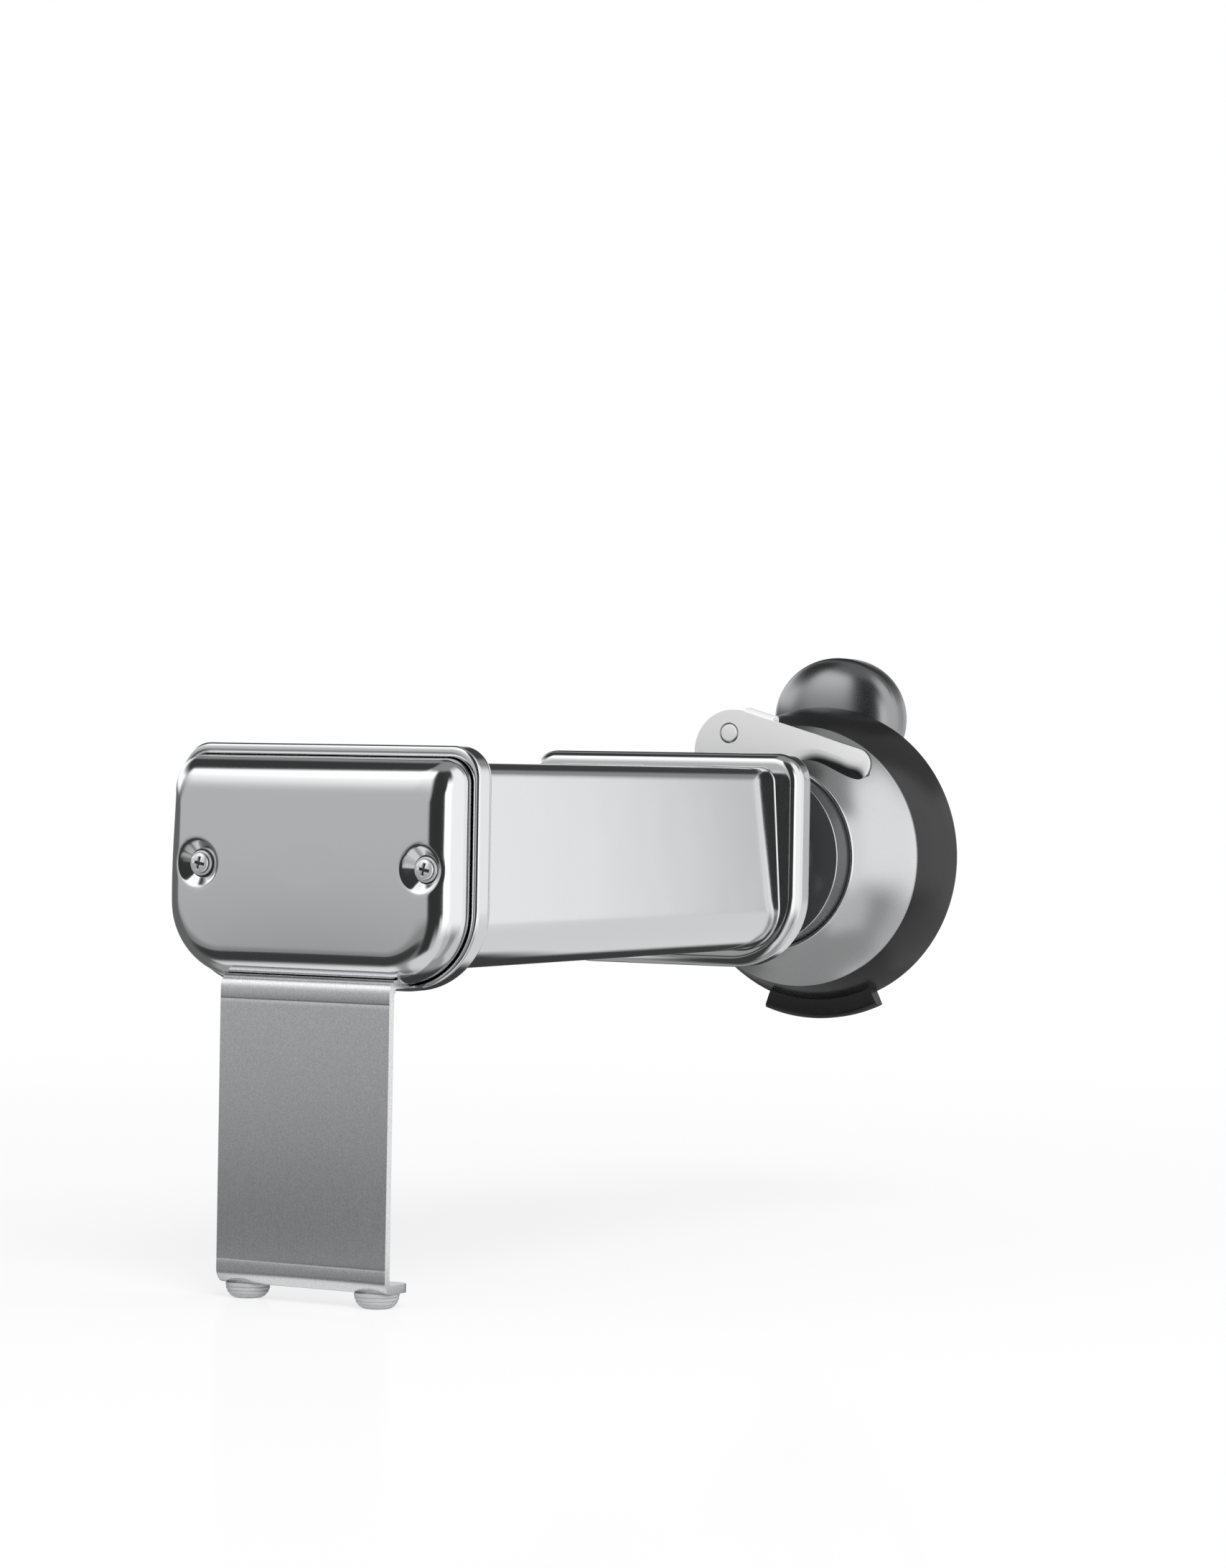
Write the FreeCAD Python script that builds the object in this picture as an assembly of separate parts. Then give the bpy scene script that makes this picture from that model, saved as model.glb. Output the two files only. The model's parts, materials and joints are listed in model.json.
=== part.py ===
import FreeCAD, Part
import math
import os

from FreeCAD import Vector as V

# Pasta cutter head on a drive adapter, with a sheet-steel leg under its outer end.
# X runs along the cutters towards the drive end, Y to the back, Z up, all in millimetres.
# The origin is on the drive axis, in the plane where the adapter seats, at its spigot's root.

# Lengths along the axis, from the seat outwards
body_len = 14.0
collar_len = 14.0
bell_len = 18.8
hub_band = 7.4
neck_len = 13.7
cover_proud = 8.5

# Cutters: discs of one roll run in the grooves of the other
strand_w = 9.0
strands = 16
roll_end = 1.2
disc_r = 14.0
bite = 3.0
nip_gap = 1.0
cut_clear = 0.15
journal_r = 5.0
run_clear = 0.05
end_float = 0.3

# Spur gears that couple the cutters
gear_teeth = 20
gear_w = 3.6
gear_room = 0.7
backlash = 0.3
pressure = math.radians(20)

# Bushes and retaining rings of the journals
bush_collar = 4.0
bush_wall = 2.0
bush_flange = 2.2
bush_proud = 0.4
ring_t = 1.0
ring_wall = 2.5
ring_groove = 1.0
ring_mouth = 0.6
journal_tail = 2.0

# Shells: mirror-finished sheet between the side trays
shell_t = 0.8
shell_inset = 5.66
front_room = 1.77
back_room = 10.8
top_room = 8.4
bottom_room = 8.5
shell_lean = math.radians(3.5)
top_bend = 3.5
bottom_bend = 10.6
lip_bend = 2.0
lip_clear = 1.5
feed_mouth = 19.0
feed_throat = 15.0
exit_w = 23.0

# Side trays
tray_t = 0.8
tray_rise = 3.7
tray_drop = 4.6
tray_r_top = 8.5
tray_r_bot = 18.5
tray_edge = 3.0

# Outer cover of the left tray, with a dimple round each screw
cover_t = 1.0
cover_gap = 1.4
cover_drop = 0.6
cover_edge = 4.5
cover_seat = 0.3
dimple_r = 3.9
dimple_wall = 1.0
dimple_lip = 1.5
dimple_depth = 2.5
post_inset = 9.75
post_r = 3.0
post_grip = 7.0
tail_r = 1.8
notch_side = 0.9
notch_over = 0.3
bead_r = 0.6

# Pan-head screws, with the recess as shares of the head
m3_head = 2.75
m3_high = 2.0
m3_r = 1.5
m4_head = 3.5
m4_high = 2.4
m4_r = 2.0
recess_reach = 0.62
recess_half = 0.16
recess_sink = 0.55
hole_clear = 0.15
thread_clear = 0.03
washer_r = 3.5
washer_t = 0.5

# Tie rods, and the strippers on the lower ones inside the shells' bottom bends
tie_r = 3.0
tie_turn = math.radians(32)
tie_screw_len = 10.0
sleeve_wall = 1.0
sleeve_clear = 0.4
comb_t = 1.5
comb_gap = 0.45
comb_side = 0.7
comb_reach = 1.5

# Plate that closes the right tray
plate_t = 1.2
plate_recess = 0.4
plate_gap = 0.4
plate_grip = 3.0
stud_r = 2.5
stud_inset = 6.6
stud_z = 13.5

# Leg of bent sheet, and its bumpers
leg_w = 44.3
leg_t = 2.0
leg_h = 69.7
leg_bend = 3.2
leg_proud = 0.1
leg_foot = 10.6
leg_corner = 2.0
line_depth = 0.15
line_inset = 5.6
leg_screw_inset = 8.15
foot_inset = 5.2
foot_r = 5.2
foot_h = 3.4
foot_steps = 3
foot_band = 0.7
foot_step = 0.5
foot_draft = 0.15

# Hub that plugs the head into the adapter
hub_r = 23.4
hub_fit = 0.1
hub_disc = 6.0
hub_wall = 3.0
hub_round = 0.8
skirt_room = 1.4
neck_clear = 1.2
neck_wall = 2.8
neck_flare = 5.0
flange_w = 6.0
flange_t = 3.0

# Bell of the adapter, with the share of its length and flare where its curve is steepest
mouth_wall = 1.3
bell_flare = 9.7
bell_along = 0.58
bell_out = 0.36
bell_rim = 1.2
bell_round = 0.5
web_t = 4.8
boss_wall = 3.45
boss_front = 8.4
boss_back = 3.0

# Collar, body, spigot and dome of the adapter
collar_step = 0.5
collar_flare = 5.8
collar_swell = 0.5
collar_web = 3.5
boss_clear = 1.0
body_r = 30.0
spigot_r = 26.0
spigot_len = 14.0
spigot_wall = 3.0
spigot_chamfer = 1.0
tongue_reach = 3.8
tongue_half = math.radians(22.3)
tongue_turn = math.radians(3.2)
tongue_t = 4.0
dome_w = 18.2
dome_h = 16.5
dome_set = 8.5
dome_gap = 0.3
dome_rise = 6.7

# Drive shaft through the adapter
shaft_r = 6.0
shaft_bush_wall = 2.5
shaft_bush_flange = 2.5
shaft_bush_lip = 1.5
tang_af = 8.0
tang_len = 17.2
tang_float = 0.5
socket_depth = 10.0
socket_fit = 0.1
socket_wall = 2.3
drive_af = 10.0
drive_len = 20.0

# Locking lever: places are counted from the drive axis and from its lower edge
lever_t = 1.6
lever_gap = 0.2
lever_set = 3.2
lever_rest = 0.6
lobe_r = 11.0
lobe_y = 8.6
lobe_rise = 1.9
pivot_y = 9.6
pivot_rise = 6.8
pivot_r = 2.25
pin_head = 0.3
pin_grip = 9.0
ear_wall = 1.8
tip_y = 26.9
tip_rise = -0.8
tip_r = 4.0
waist_len = 14.0
key_w = 10.0
key_y = -1.0
key_drop = 3.4
key_clear = 0.6
tab_w = 8.4
tab_rise = 12.1
tab_y = 5.9
tab_up = 0.4
tab_back = 4.6
tab_bend = 1.5
scoop_r = 5.0
scoop_depth = 0.8
scoop_in = 1.5
scoop_len = 9.5

# Stations along X
tray_depth = tray_t + bush_proud + end_float + gear_w + gear_room + plate_t + plate_recess
roll_span = strands * strand_w + 2 * (roll_end + end_float + bush_collar)
x_back = -body_len
x_edge = x_back - collar_len
x_mouth = x_edge - bell_len
x_hub = x_mouth - hub_band
x_rim_r = x_hub - neck_len
x_in_r = x_rim_r - tray_depth
x_in_l = x_in_r - roll_span
x_rim_l = x_in_l - tray_depth
x_face = x_rim_l - cover_proud
x_base_l = x_in_l - tray_t
x_base_r = x_in_r + tray_t
x_plate = x_rim_r - plate_recess
x_mid = (x_in_l + x_in_r) / 2

# Cross-section: shells round the cutters, trays round the shells
roll_cd = 2 * disc_r - bite
nip_y = roll_cd / 2
groove_r = disc_r - bite - nip_gap
shell_top = disc_r + top_room
shell_bot = -disc_r - bottom_room
y_front = -(disc_r + front_room + shell_t + shell_inset)
y_back = roll_cd + disc_r + back_room + shell_t + shell_inset
z_top = shell_top + shell_t + tray_rise
z_bot = shell_bot - shell_t - tray_drop
mid_y = (y_front + y_back) / 2
mid_z = (z_top + z_bot) / 2

# Screws: head radius, head height and shank radius
m3 = (m3_head, m3_high, m3_r)
m4 = (m4_head, m4_high, m4_r)
m3_hole, m3_tap = m3_r + hole_clear, m3_r + thread_clear
m4_hole, m4_tap = m4_r + hole_clear, m4_r + thread_clear


def out(name, *solids):
    """Writes one node, a single solid or several identical pieces."""
    shape = solids[0] if len(solids) == 1 else Part.makeCompound(list(solids))
    shape.exportStep(os.path.join("parts", name + ".step"))
    print(name, len(shape.Solids), "valid" if shape.isValid() else "NOT VALID", round(shape.Volume, 1))


def rod(x0, x1, r, y=0.0, z=0.0):
    return Part.makeCylinder(r, x1 - x0, V(x0, y, z), V(1, 0, 0))


def tube(x0, x1, r, bore, y=0.0, z=0.0):
    return rod(x0, x1, r, y, z).cut(rod(x0, x1, bore, y, z))


def block(x0, x1, y0, y1, z0, z1):
    return Part.makeBox(x1 - x0, y1 - y0, z1 - z0, V(x0, y0, z0))


def edges_of(points):
    """Closed chain of edges through points; a point marked True is the middle of an arc."""
    ring = points + [points[0]]
    edges = []
    i = 0
    while i < len(ring) - 1:
        if ring[i + 1][1]:
            edges.append(Part.Arc(ring[i][0], ring[i + 1][0], ring[i + 2][0]).toShape())
            i += 2
        else:
            edges.append(Part.makeLine(ring[i][0], ring[i + 1][0]))
            i += 1
    return edges


def turned(profile, y=0.0, z=0.0):
    """Turned piece about an axis along X: profile of (x, radius), a third item marks the middle of an arc."""
    points = [(V(p[0], y, z + p[1]), len(p) > 2) for p in profile]
    face = Part.Face(Part.Wire(edges_of(points)))
    return face.revolve(V(0, y, z), V(1, 0, 0), 360)


def round_corner(x, r, size):
    """Rounded outer corner of a turned profile, from the face at x to the cylinder of radius r."""
    k = size * (1 - math.sqrt(0.5))
    return [(x, r - size), (x + k, r - k, True), (x + size, r)]


def outline(grow, x, drop=0.0):
    """Outline of the side trays, grown outwards by grow and lowered by drop, in the plane at x."""
    y0, y1, z0, z1 = y_front - grow, y_back + grow, z_bot - grow - drop, z_top + grow - drop
    corners = [
        (y0, z1, 1, -1, tray_r_top + grow),
        (y1, z1, -1, -1, tray_r_top + grow),
        (y1, z0, -1, 1, tray_r_bot + grow),
        (y0, z0, 1, 1, tray_r_bot + grow),
    ]
    points = []
    k = 1 - math.sqrt(0.5)
    for n, (y, z, sy, sz, r) in enumerate(corners):
        along = V(x, y + sy * r, z)
        down = V(x, y, z + sz * r)
        middle = V(x, y + sy * r * k, z + sz * r * k)
        first, last = (down, along) if n % 2 == 0 else (along, down)
        points += [(first, False), (middle, True), (last, False)]
    return Part.Face(Part.Wire(edges_of(points)))


def pressed(grow, x_flat, x_open, radius, drop=0.0):
    """Block with the trays' outline whose edge at x_flat is rounded, as a drawn pressing is."""
    body = outline(grow, x_flat, drop).extrude(V(x_open - x_flat, 0, 0))
    rim = [e for e in body.Edges if all(abs(v.Point.x - x_flat) < 1e-6 for v in e.Vertexes)]
    corner = min(tray_r_top, tray_r_bot) + grow
    return body.makeFillet(min(radius, 0.9 * corner), rim)


def strip(path, radii, t, place):
    """Section of bent sheet: centre line path, bend radius at each inner corner, thickness t."""
    path = [V(p[0], p[1], 0) for p in path]
    sides = []
    for s in (1, -1):
        chain = []
        for i in range(len(path)):
            before = (path[i] - path[i - 1]).normalize() if i else None
            after = (path[i + 1] - path[i]).normalize() if i < len(path) - 1 else None
            if before is None or after is None:
                d = after if before is None else before
                chain.append((path[i] + V(-d.y, d.x, 0) * (s * t / 2), False))
                continue
            turn = math.copysign(1, before.cross(after).z)
            reach = radii[i - 1] * math.tan(before.getAngle(after) / 2)
            start, end = path[i] - before * reach, path[i] + after * reach
            centre = start + V(-before.y, before.x, 0) * (turn * radii[i - 1])
            r = radii[i - 1] - s * turn * t / 2
            for p, arc in ((start, False), ((start + end) * 0.5, True), (end, False)):
                chain.append((centre + (p - centre).normalize() * r, arc))
        sides.append(chain)
    loop = sides[0] + sides[1][::-1]
    return Part.Face(Part.Wire(edges_of([(place(p.x, p.y), arc) for p, arc in loop])))


def prism(x0, x1, af):
    """Hexagonal bar, af across its flats."""
    r = af / math.sqrt(3)
    points = [V(x0, r * math.cos(a * math.pi / 3), r * math.sin(a * math.pi / 3)) for a in range(7)]
    return Part.Face(Part.makePolygon(points)).extrude(V(x1 - x0, 0, 0))


def open_ring(x0, groove, y=0.0):
    """Retaining ring that snaps into a groove from above."""
    ring_out = groove + ring_wall
    mouth = groove * ring_mouth
    return tube(x0, x0 + ring_t, ring_out, groove, y).cut(
        block(x0, x0 + ring_t, y - mouth, y + mouth, -ring_out, 0))


def screw(size, length, seat, direction):
    """Pan-head screw with a cross recess; seat is under its head, direction points along the shank."""
    head, high, shank = size
    crown = high - head * (1 - math.sqrt(0.75))
    body = turned([
        (-high, 0), (-crown, head / 2, True), (-high / 2, head * math.sqrt(0.75)), (-high / 4, head),
        (0, head), (0, shank), (length, shank), (length, 0)])
    slot = block(-high, -high * (1 - recess_sink), -head * recess_reach, head * recess_reach,
                 -head * recess_half, head * recess_half)
    turn = slot.copy()
    turn.rotate(V(0, 0, 0), V(1, 0, 0), 90)
    body = body.cut(slot).cut(turn)
    body.Placement = FreeCAD.Placement(seat, FreeCAD.Rotation(V(1, 0, 0), direction))
    return body


def gear(x0, x1, y, phase):
    """Involute spur gear whose pitch circle touches its twin's half way between the cutters."""
    module = roll_cd / gear_teeth
    pitch_r = roll_cd / 2
    tip_circle, root_circle = pitch_r + module, pitch_r - 1.25 * module
    base = pitch_r * math.cos(pressure)
    half = math.pi / (2 * gear_teeth) - backlash / (4 * pitch_r)
    start = max(base, root_circle)

    def flank(r):
        a = math.acos(min(1.0, base / r))
        return half + math.tan(pressure) - pressure - (math.tan(a) - a)

    def spot(r, a):
        return V(x0, y + r * math.cos(a), r * math.sin(a))

    radii = [start + (tip_circle - start) * i / 4 for i in range(5)]
    edges = []
    for n in range(gear_teeth):
        c = phase + 2 * math.pi * n / gear_teeth
        after = c + 2 * math.pi / gear_teeth
        wide = flank(start)
        rise, fall = Part.BSplineCurve(), Part.BSplineCurve()
        rise.interpolate([spot(r, c - flank(r)) for r in radii])
        fall.interpolate([spot(r, c + flank(r)) for r in reversed(radii)])
        edges.append(Part.makeLine(spot(root_circle, c - wide), spot(start, c - wide)))
        edges.append(rise.toShape())
        edges.append(Part.Arc(spot(tip_circle, c - flank(tip_circle)), spot(tip_circle, c),
                              spot(tip_circle, c + flank(tip_circle))).toShape())
        edges.append(fall.toShape())
        edges.append(Part.makeLine(spot(start, c + wide), spot(root_circle, c + wide)))
        edges.append(Part.Arc(spot(root_circle, c + wide), spot(root_circle, (c + after) / 2),
                              spot(root_circle, after - wide)).toShape())
    wheel = Part.Face(Part.Wire(edges)).extrude(V(x1 - x0, 0, 0))
    return wheel.cut(rod(x0, x1, journal_r, y))


os.makedirs("parts", exist_ok=True)

# Cutters, each with its gear and its retaining ring
x_left = x_in_l + bush_collar + end_float
x_right = x_in_r - bush_collar - end_float
x_first = x_mid - strands * strand_w / 2
x_ring = x_base_l - bush_proud - end_float - ring_t
x_tail = x_ring - journal_tail
x_gear = x_base_r + bush_proud + end_float
x_gear_end = x_gear + gear_w
x_tang = x_gear_end + tang_len
journal_groove = journal_r - ring_groove


def cutter(y, odd):
    profile = [(x_tail, 0), (x_tail, journal_r), (x_ring, journal_r), (x_ring, journal_groove)]
    profile += [(x_ring + ring_t, journal_groove), (x_ring + ring_t, journal_r)]
    profile += [(x_left, journal_r), (x_left, groove_r)]
    for n in range(odd, strands, 2):
        a = x_first + n * strand_w + cut_clear
        b = a + strand_w - 2 * cut_clear
        profile += [(a, groove_r), (a, disc_r), (b, disc_r), (b, groove_r)]
    profile += [(x_right, groove_r), (x_right, journal_r), (x_gear_end, journal_r), (x_gear_end, 0)]
    return turned(profile, y)


out("cutter_front", cutter(0.0, 0).fuse(prism(x_gear_end, x_tang, tang_af)).removeSplitter())
out("cutter_rear", cutter(roll_cd, 1))
out("gear_front", gear(x_gear, x_gear_end, 0.0, 0.0))
out("gear_rear", gear(x_gear, x_gear_end, roll_cd, math.pi - math.pi / gear_teeth))
out("retaining_ring_front", open_ring(x_ring, journal_groove))
out("retaining_ring_rear", open_ring(x_ring, journal_groove, roll_cd))

bush_bore = journal_r + run_clear
bush_r = bush_bore + bush_wall
bushes = []
for y in (0.0, roll_cd):
    for x, inward in ((x_in_l, 1), (x_in_r, -1)):
        collar_face, proud = x + inward * bush_collar, x - inward * (tray_t + bush_proud)
        bushes.append(turned([
            (collar_face, bush_bore), (collar_face, bush_r + bush_flange), (x, bush_r + bush_flange),
            (x, bush_r), (proud, bush_r), (proud, bush_bore)], y))
out("journal_bushes", *bushes)

# Shells: lip at the feed, top, leaning face, bottom bend and exit edge
z_lip = disc_r + lip_clear
z_up, z_down = shell_top + shell_t / 2, shell_bot - shell_t / 2
tan_lean = math.tan(shell_lean)


def shell(side, room):
    face_y = disc_r + nip_y + room + shell_t / 2
    path = [
        (feed_throat / 2, z_lip),
        (feed_mouth / 2, z_up),
        (face_y - z_up * tan_lean, z_up),
        (face_y - z_down * tan_lean, z_down),
        (exit_w / 2, z_down)]
    section = strip(path, [lip_bend, top_bend, bottom_bend], shell_t,
                    lambda u, v: V(x_in_l, nip_y + side * u, v))
    return section.extrude(V(roll_span, 0, 0))


out("shell_front", shell(-1, front_room))
out("shell_rear", shell(1, back_room))

# Tie rods: the lower front one lies in the front shell's bottom bend, the others mirror it
sleeve_r = tie_r + run_clear + sleeve_wall
z_bend = z_down + bottom_bend
y_bend = z_bend * tan_lean + bottom_bend / math.cos(shell_lean) - (disc_r + front_room + shell_t / 2)
tie_in = bottom_bend - shell_t / 2 - sleeve_clear - sleeve_r
tie_y = y_bend - tie_in * math.sin(tie_turn)
tie_z = z_bend - tie_in * math.cos(tie_turn)
ties = [(y, z) for y in (tie_y, roll_cd - tie_y) for z in (tie_z, -tie_z)]
rods, tie_screws = [], []
for y, z in ties:
    bar = rod(x_in_l, x_in_r, tie_r, y, z)
    for a in (x_in_l, x_in_r - tie_screw_len):
        bar = bar.cut(rod(a, a + tie_screw_len, m4_tap, y, z))
    rods.append(bar)
    tie_screws.append(screw(m4, tie_screw_len, V(x_base_l, y, z), V(1, 0, 0)))
    tie_screws.append(screw(m4, tie_screw_len, V(x_base_r, y, z), V(-1, 0, 0)))
out("tie_rods", *rods)
out("tie_screws", *tie_screws)

# Strippers: fingers that run in the grooves, on a sleeve round the lower tie rod
finger_r = groove_r + comb_gap + comb_t / 2
rod_at = V(0, tie_y, tie_z)
finger_turn = math.atan2(tie_z, tie_y) + math.acos(finger_r / rod_at.Length)
finger_end = V(0, finger_r * math.cos(finger_turn), finger_r * math.sin(finger_turn))


def comb(odd):
    along = (finger_end - rod_at).normalize()
    across = V(0, -along.z, along.y) * (comb_t / 2)
    end = finger_end + along * comb_reach
    corners = [p + V(x_left, 0, 0) for p in (rod_at - across, end - across, end + across, rod_at + across)]
    plate = Part.Face(Part.makePolygon(corners + corners[:1])).extrude(V(x_right - x_left, 0, 0))
    for n in range(odd, strands, 2):
        a = x_first + n * strand_w + cut_clear - comb_side
        b = x_first + (n + 1) * strand_w - cut_clear + comb_side
        plate = plate.cut(rod(a, b, disc_r + comb_side))
    plate = plate.fuse(rod(x_left, x_right, sleeve_r, tie_y, tie_z))
    return plate.cut(rod(x_left, x_right, tie_r + run_clear, tie_y, tie_z)).removeSplitter()


out("comb_front", comb(0))
out("comb_rear", comb(1).mirror(V(0, nip_y, 0), V(0, 1, 0)))

# Side trays, with the holes of what they carry
posts = [(y_front + post_inset, mid_z), (y_back - post_inset, mid_z)]
studs = [(y, mid_z + z) for y in (y_front + stud_inset, y_back - stud_inset) for z in (-stud_z, stud_z)]
leg_spots = [mid_y - leg_w / 2 + leg_screw_inset, mid_y + leg_w / 2 - leg_screw_inset]
x_flange = x_in_l - tray_edge
x_leg_hole = (x_rim_l + x_flange) / 2


def tray(x_flat, x_open, tails):
    way = math.copysign(1, x_open - x_flat)
    x_base = x_flat + way * tray_t
    body = pressed(0.0, x_flat, x_open, tray_edge)
    body = body.cut(pressed(-tray_t, x_base, x_open, tray_edge - tray_t))
    low, high = min(x_flat, x_base), max(x_flat, x_base)
    for y in (0.0, roll_cd):
        body = body.cut(rod(low, high, bush_r, y))
    for y, z in ties:
        body = body.cut(rod(low, high, m4_hole, y, z))
    for y, z in tails:
        body = body.cut(rod(low, high, tail_r, y, z))
    return body


tray_left = tray(x_in_l, x_rim_l, posts)
for y in leg_spots:
    tray_left = tray_left.cut(Part.makeCylinder(m3_hole, 2 * tray_t, V(x_leg_hole, y, z_bot)))
out("tray_left", tray_left)
out("tray_right", tray(x_in_r, x_rim_r, studs))

# Leg: one strip bent to a C; its upper flange lies in the tray, where the rim begins to curve up
rim_r = tray_r_bot - tray_t
past_flat = max(0.0, leg_w / 2 - (y_back - y_front) / 2 + tray_r_bot)
z_rim = z_bot + tray_t + rim_r - math.sqrt(rim_r ** 2 - past_flat ** 2)
z_flange = z_rim + leg_t
x_leg = x_face - leg_proud
z_leg_bot = z_flange - leg_h
mid_t = leg_t / 2
leg_path = [
    (x_flange, z_flange - mid_t),
    (x_leg + mid_t, z_flange - mid_t),
    (x_leg + mid_t, z_leg_bot + mid_t),
    (x_leg + leg_foot, z_leg_bot + mid_t)]
leg = strip(leg_path, [leg_bend - mid_t] * 2, leg_t, lambda u, v: V(u, mid_y - leg_w / 2, v))
leg = leg.extrude(V(0, leg_w, 0))
toe = [e for e in leg.Edges if all(abs(v.Point.x - x_leg - leg_foot) < 1e-6 for v in e.Vertexes)
       and abs(e.Vertexes[0].Point.z - e.Vertexes[-1].Point.z) > leg_t / 2]
leg = leg.makeFillet(leg_corner, toe)
for z in (z_flange - line_inset, z_leg_bot + line_inset):
    leg = leg.cut(Part.makeCylinder(line_depth, leg_w, V(x_leg, mid_y - leg_w / 2, z), V(0, 1, 0)))
for y in leg_spots:
    leg = leg.cut(Part.makeCylinder(m3_tap, leg_t, V(x_leg_hole, y, z_rim)))
out("leg", leg)
out("leg_screws", *[screw(m3, z_flange - z_bot, V(x_leg_hole, y, z_bot), V(0, 0, 1)) for y in leg_spots])

x_foot = x_leg + leg_foot / 2
pads = []
for y in (mid_y - leg_w / 2 + foot_inset, mid_y + leg_w / 2 - foot_inset):
    profile = [V(0, 0, 0)]
    for n in range(foot_steps):
        r = foot_r - foot_step * n
        profile += [V(r, 0, -foot_band * n), V(r - foot_draft, 0, -foot_band * (n + 1))]
    profile += [V(foot_r - foot_step * foot_steps, 0, -foot_h), V(0, 0, -foot_h), V(0, 0, 0)]
    pad = Part.Face(Part.makePolygon(profile)).revolve(V(0, 0, 0), V(0, 0, 1), 360)
    pad.translate(V(x_foot, y, z_leg_bot))
    pads.append(pad)
out("foot_bumpers", *pads)

# Cover of the left tray: a drawn cup with two dimples, and a notch for the leg with a beaded edge
cover_in = -(tray_t + cover_gap)
x_floor = x_face + dimple_depth
x_post = x_floor + cover_t


def cup(grow, x_flat, radius, wall):
    body = pressed(grow, x_flat, x_flange - cover_seat, radius, cover_drop)
    mouth = dimple_r + dimple_wall + wall
    brim = mouth + dimple_lip
    k = dimple_lip * (1 - math.sqrt(0.5))
    for y, z in posts:
        body = body.cut(turned([
            (x_floor + wall, 0), (x_floor + wall, dimple_r + wall), (x_face + dimple_lip, mouth),
            (x_face + k, mouth + k, True), (x_face, brim), (x_face - dimple_lip, brim),
            (x_face - dimple_lip, 0)], y, z))
    return body


cover = cup(cover_in, x_face, cover_edge, 0.0)
cover = cover.cut(cup(cover_in - cover_t, x_face + cover_t, cover_edge - cover_t, cover_t))
notch_half = leg_w / 2 + notch_side
z_notch = z_flange + notch_over
up_edge = z_notch - (z_bot - cover_in - cover_drop)
slope = cover_edge - math.sqrt(cover_edge ** 2 - max(0.0, cover_edge - up_edge) ** 2)
bead_at = V(x_face + slope + bead_r, mid_y - notch_half, z_notch + bead_r)
bead = Part.makeCylinder(bead_r, 2 * notch_half, bead_at, V(0, 1, 0))
cover = cover.fuse(bead)
cover = cover.cut(block(x_face, x_base_l, mid_y - notch_half, mid_y + notch_half, z_bot, z_notch))
for y, z in posts:
    cover = cover.cut(rod(x_floor, x_post, m3_hole, y, z))
out("cover_left", cover)
out("cover_posts", *[
    rod(x_post, x_base_l, post_r, y, z).fuse(rod(x_base_l, x_in_l, tail_r, y, z)).cut(
        rod(x_post, x_post + post_grip, m3_tap, y, z)) for y, z in posts])
x_washer = x_floor - washer_t
out("cover_washers", *[tube(x_washer, x_floor, washer_r, m3_hole, y, z) for y, z in posts])
cover_screw_len = x_post + post_grip - x_washer
out("cover_screws", *[screw(m3, cover_screw_len, V(x_washer, y, z), V(1, 0, 0)) for y, z in posts])

# Plate that closes the right tray, on four studs
socket_af = tang_af + 2 * socket_fit
socket_r = socket_af / math.sqrt(3) + socket_wall
neck_bore = socket_r + neck_clear
neck_r = neck_bore + neck_wall
hub_pcd = neck_r + flange_w / 2
hub_spots = [(hub_pcd * math.cos(a), hub_pcd * math.sin(a))
             for a in (math.pi / 2, math.pi * 7 / 6, -math.pi / 6)]
x_inside = x_plate - plate_t
plate = outline(-(tray_t + plate_gap), x_inside).extrude(V(plate_t, 0, 0))
plate = plate.cut(rod(x_inside, x_plate, neck_bore))
for y, z in studs:
    plate = plate.cut(rod(x_inside, x_plate, m3_hole, y, z))
for y, z in hub_spots:
    plate = plate.cut(rod(x_inside, x_plate, m3_tap, y, z))
out("closing_plate", plate)
out("plate_studs", *[
    rod(x_base_r, x_inside, stud_r, y, z).fuse(rod(x_in_r, x_base_r, tail_r, y, z)).cut(
        rod(x_inside - plate_grip, x_inside, m3_tap, y, z)) for y, z in studs])
out("plate_screws", *[screw(m3, plate_t + plate_grip, V(x_plate, y, z), V(-1, 0, 0)) for y, z in studs])

# Hub: flange on the plate, flared neck, and a disc with a skirt that plugs into the bell
x_web = x_edge - web_t
x_seat = x_plate + flange_t
x_skirt = x_web - skirt_room
hub = turned([
    (x_plate, neck_bore), (x_plate, neck_r + flange_w), (x_seat, neck_r + flange_w), (x_seat, neck_r),
    (x_hub - neck_flare, neck_r), (x_hub, neck_r + neck_flare)]
    + round_corner(x_hub, hub_r, hub_round)
    + [(x_skirt, hub_r), (x_skirt, hub_r - hub_wall),
       (x_hub + hub_disc, hub_r - hub_wall), (x_hub + hub_disc, neck_bore)])
for y, z in hub_spots:
    hub = hub.cut(rod(x_plate, x_seat, m3_hole, y, z))
mouth_r = hub_r + hub_fit + mouth_wall
lever_low = mouth_r + lever_rest
key_low = lever_low - key_drop
x_lever = x_mouth - lever_set
x_front = x_lever - lever_t
slot_half = key_w / 2 + 3 * key_clear
hub = hub.cut(block(x_front - key_clear, x_lever + key_clear, key_y - slot_half, key_y + slot_half,
                    key_low - key_clear, lever_low))
out("hub", hub)
out("hub_screws", *[screw(m3, flange_t + plate_t, V(x_seat, y, z), V(-1, 0, 0)) for y, z in hub_spots])

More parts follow.
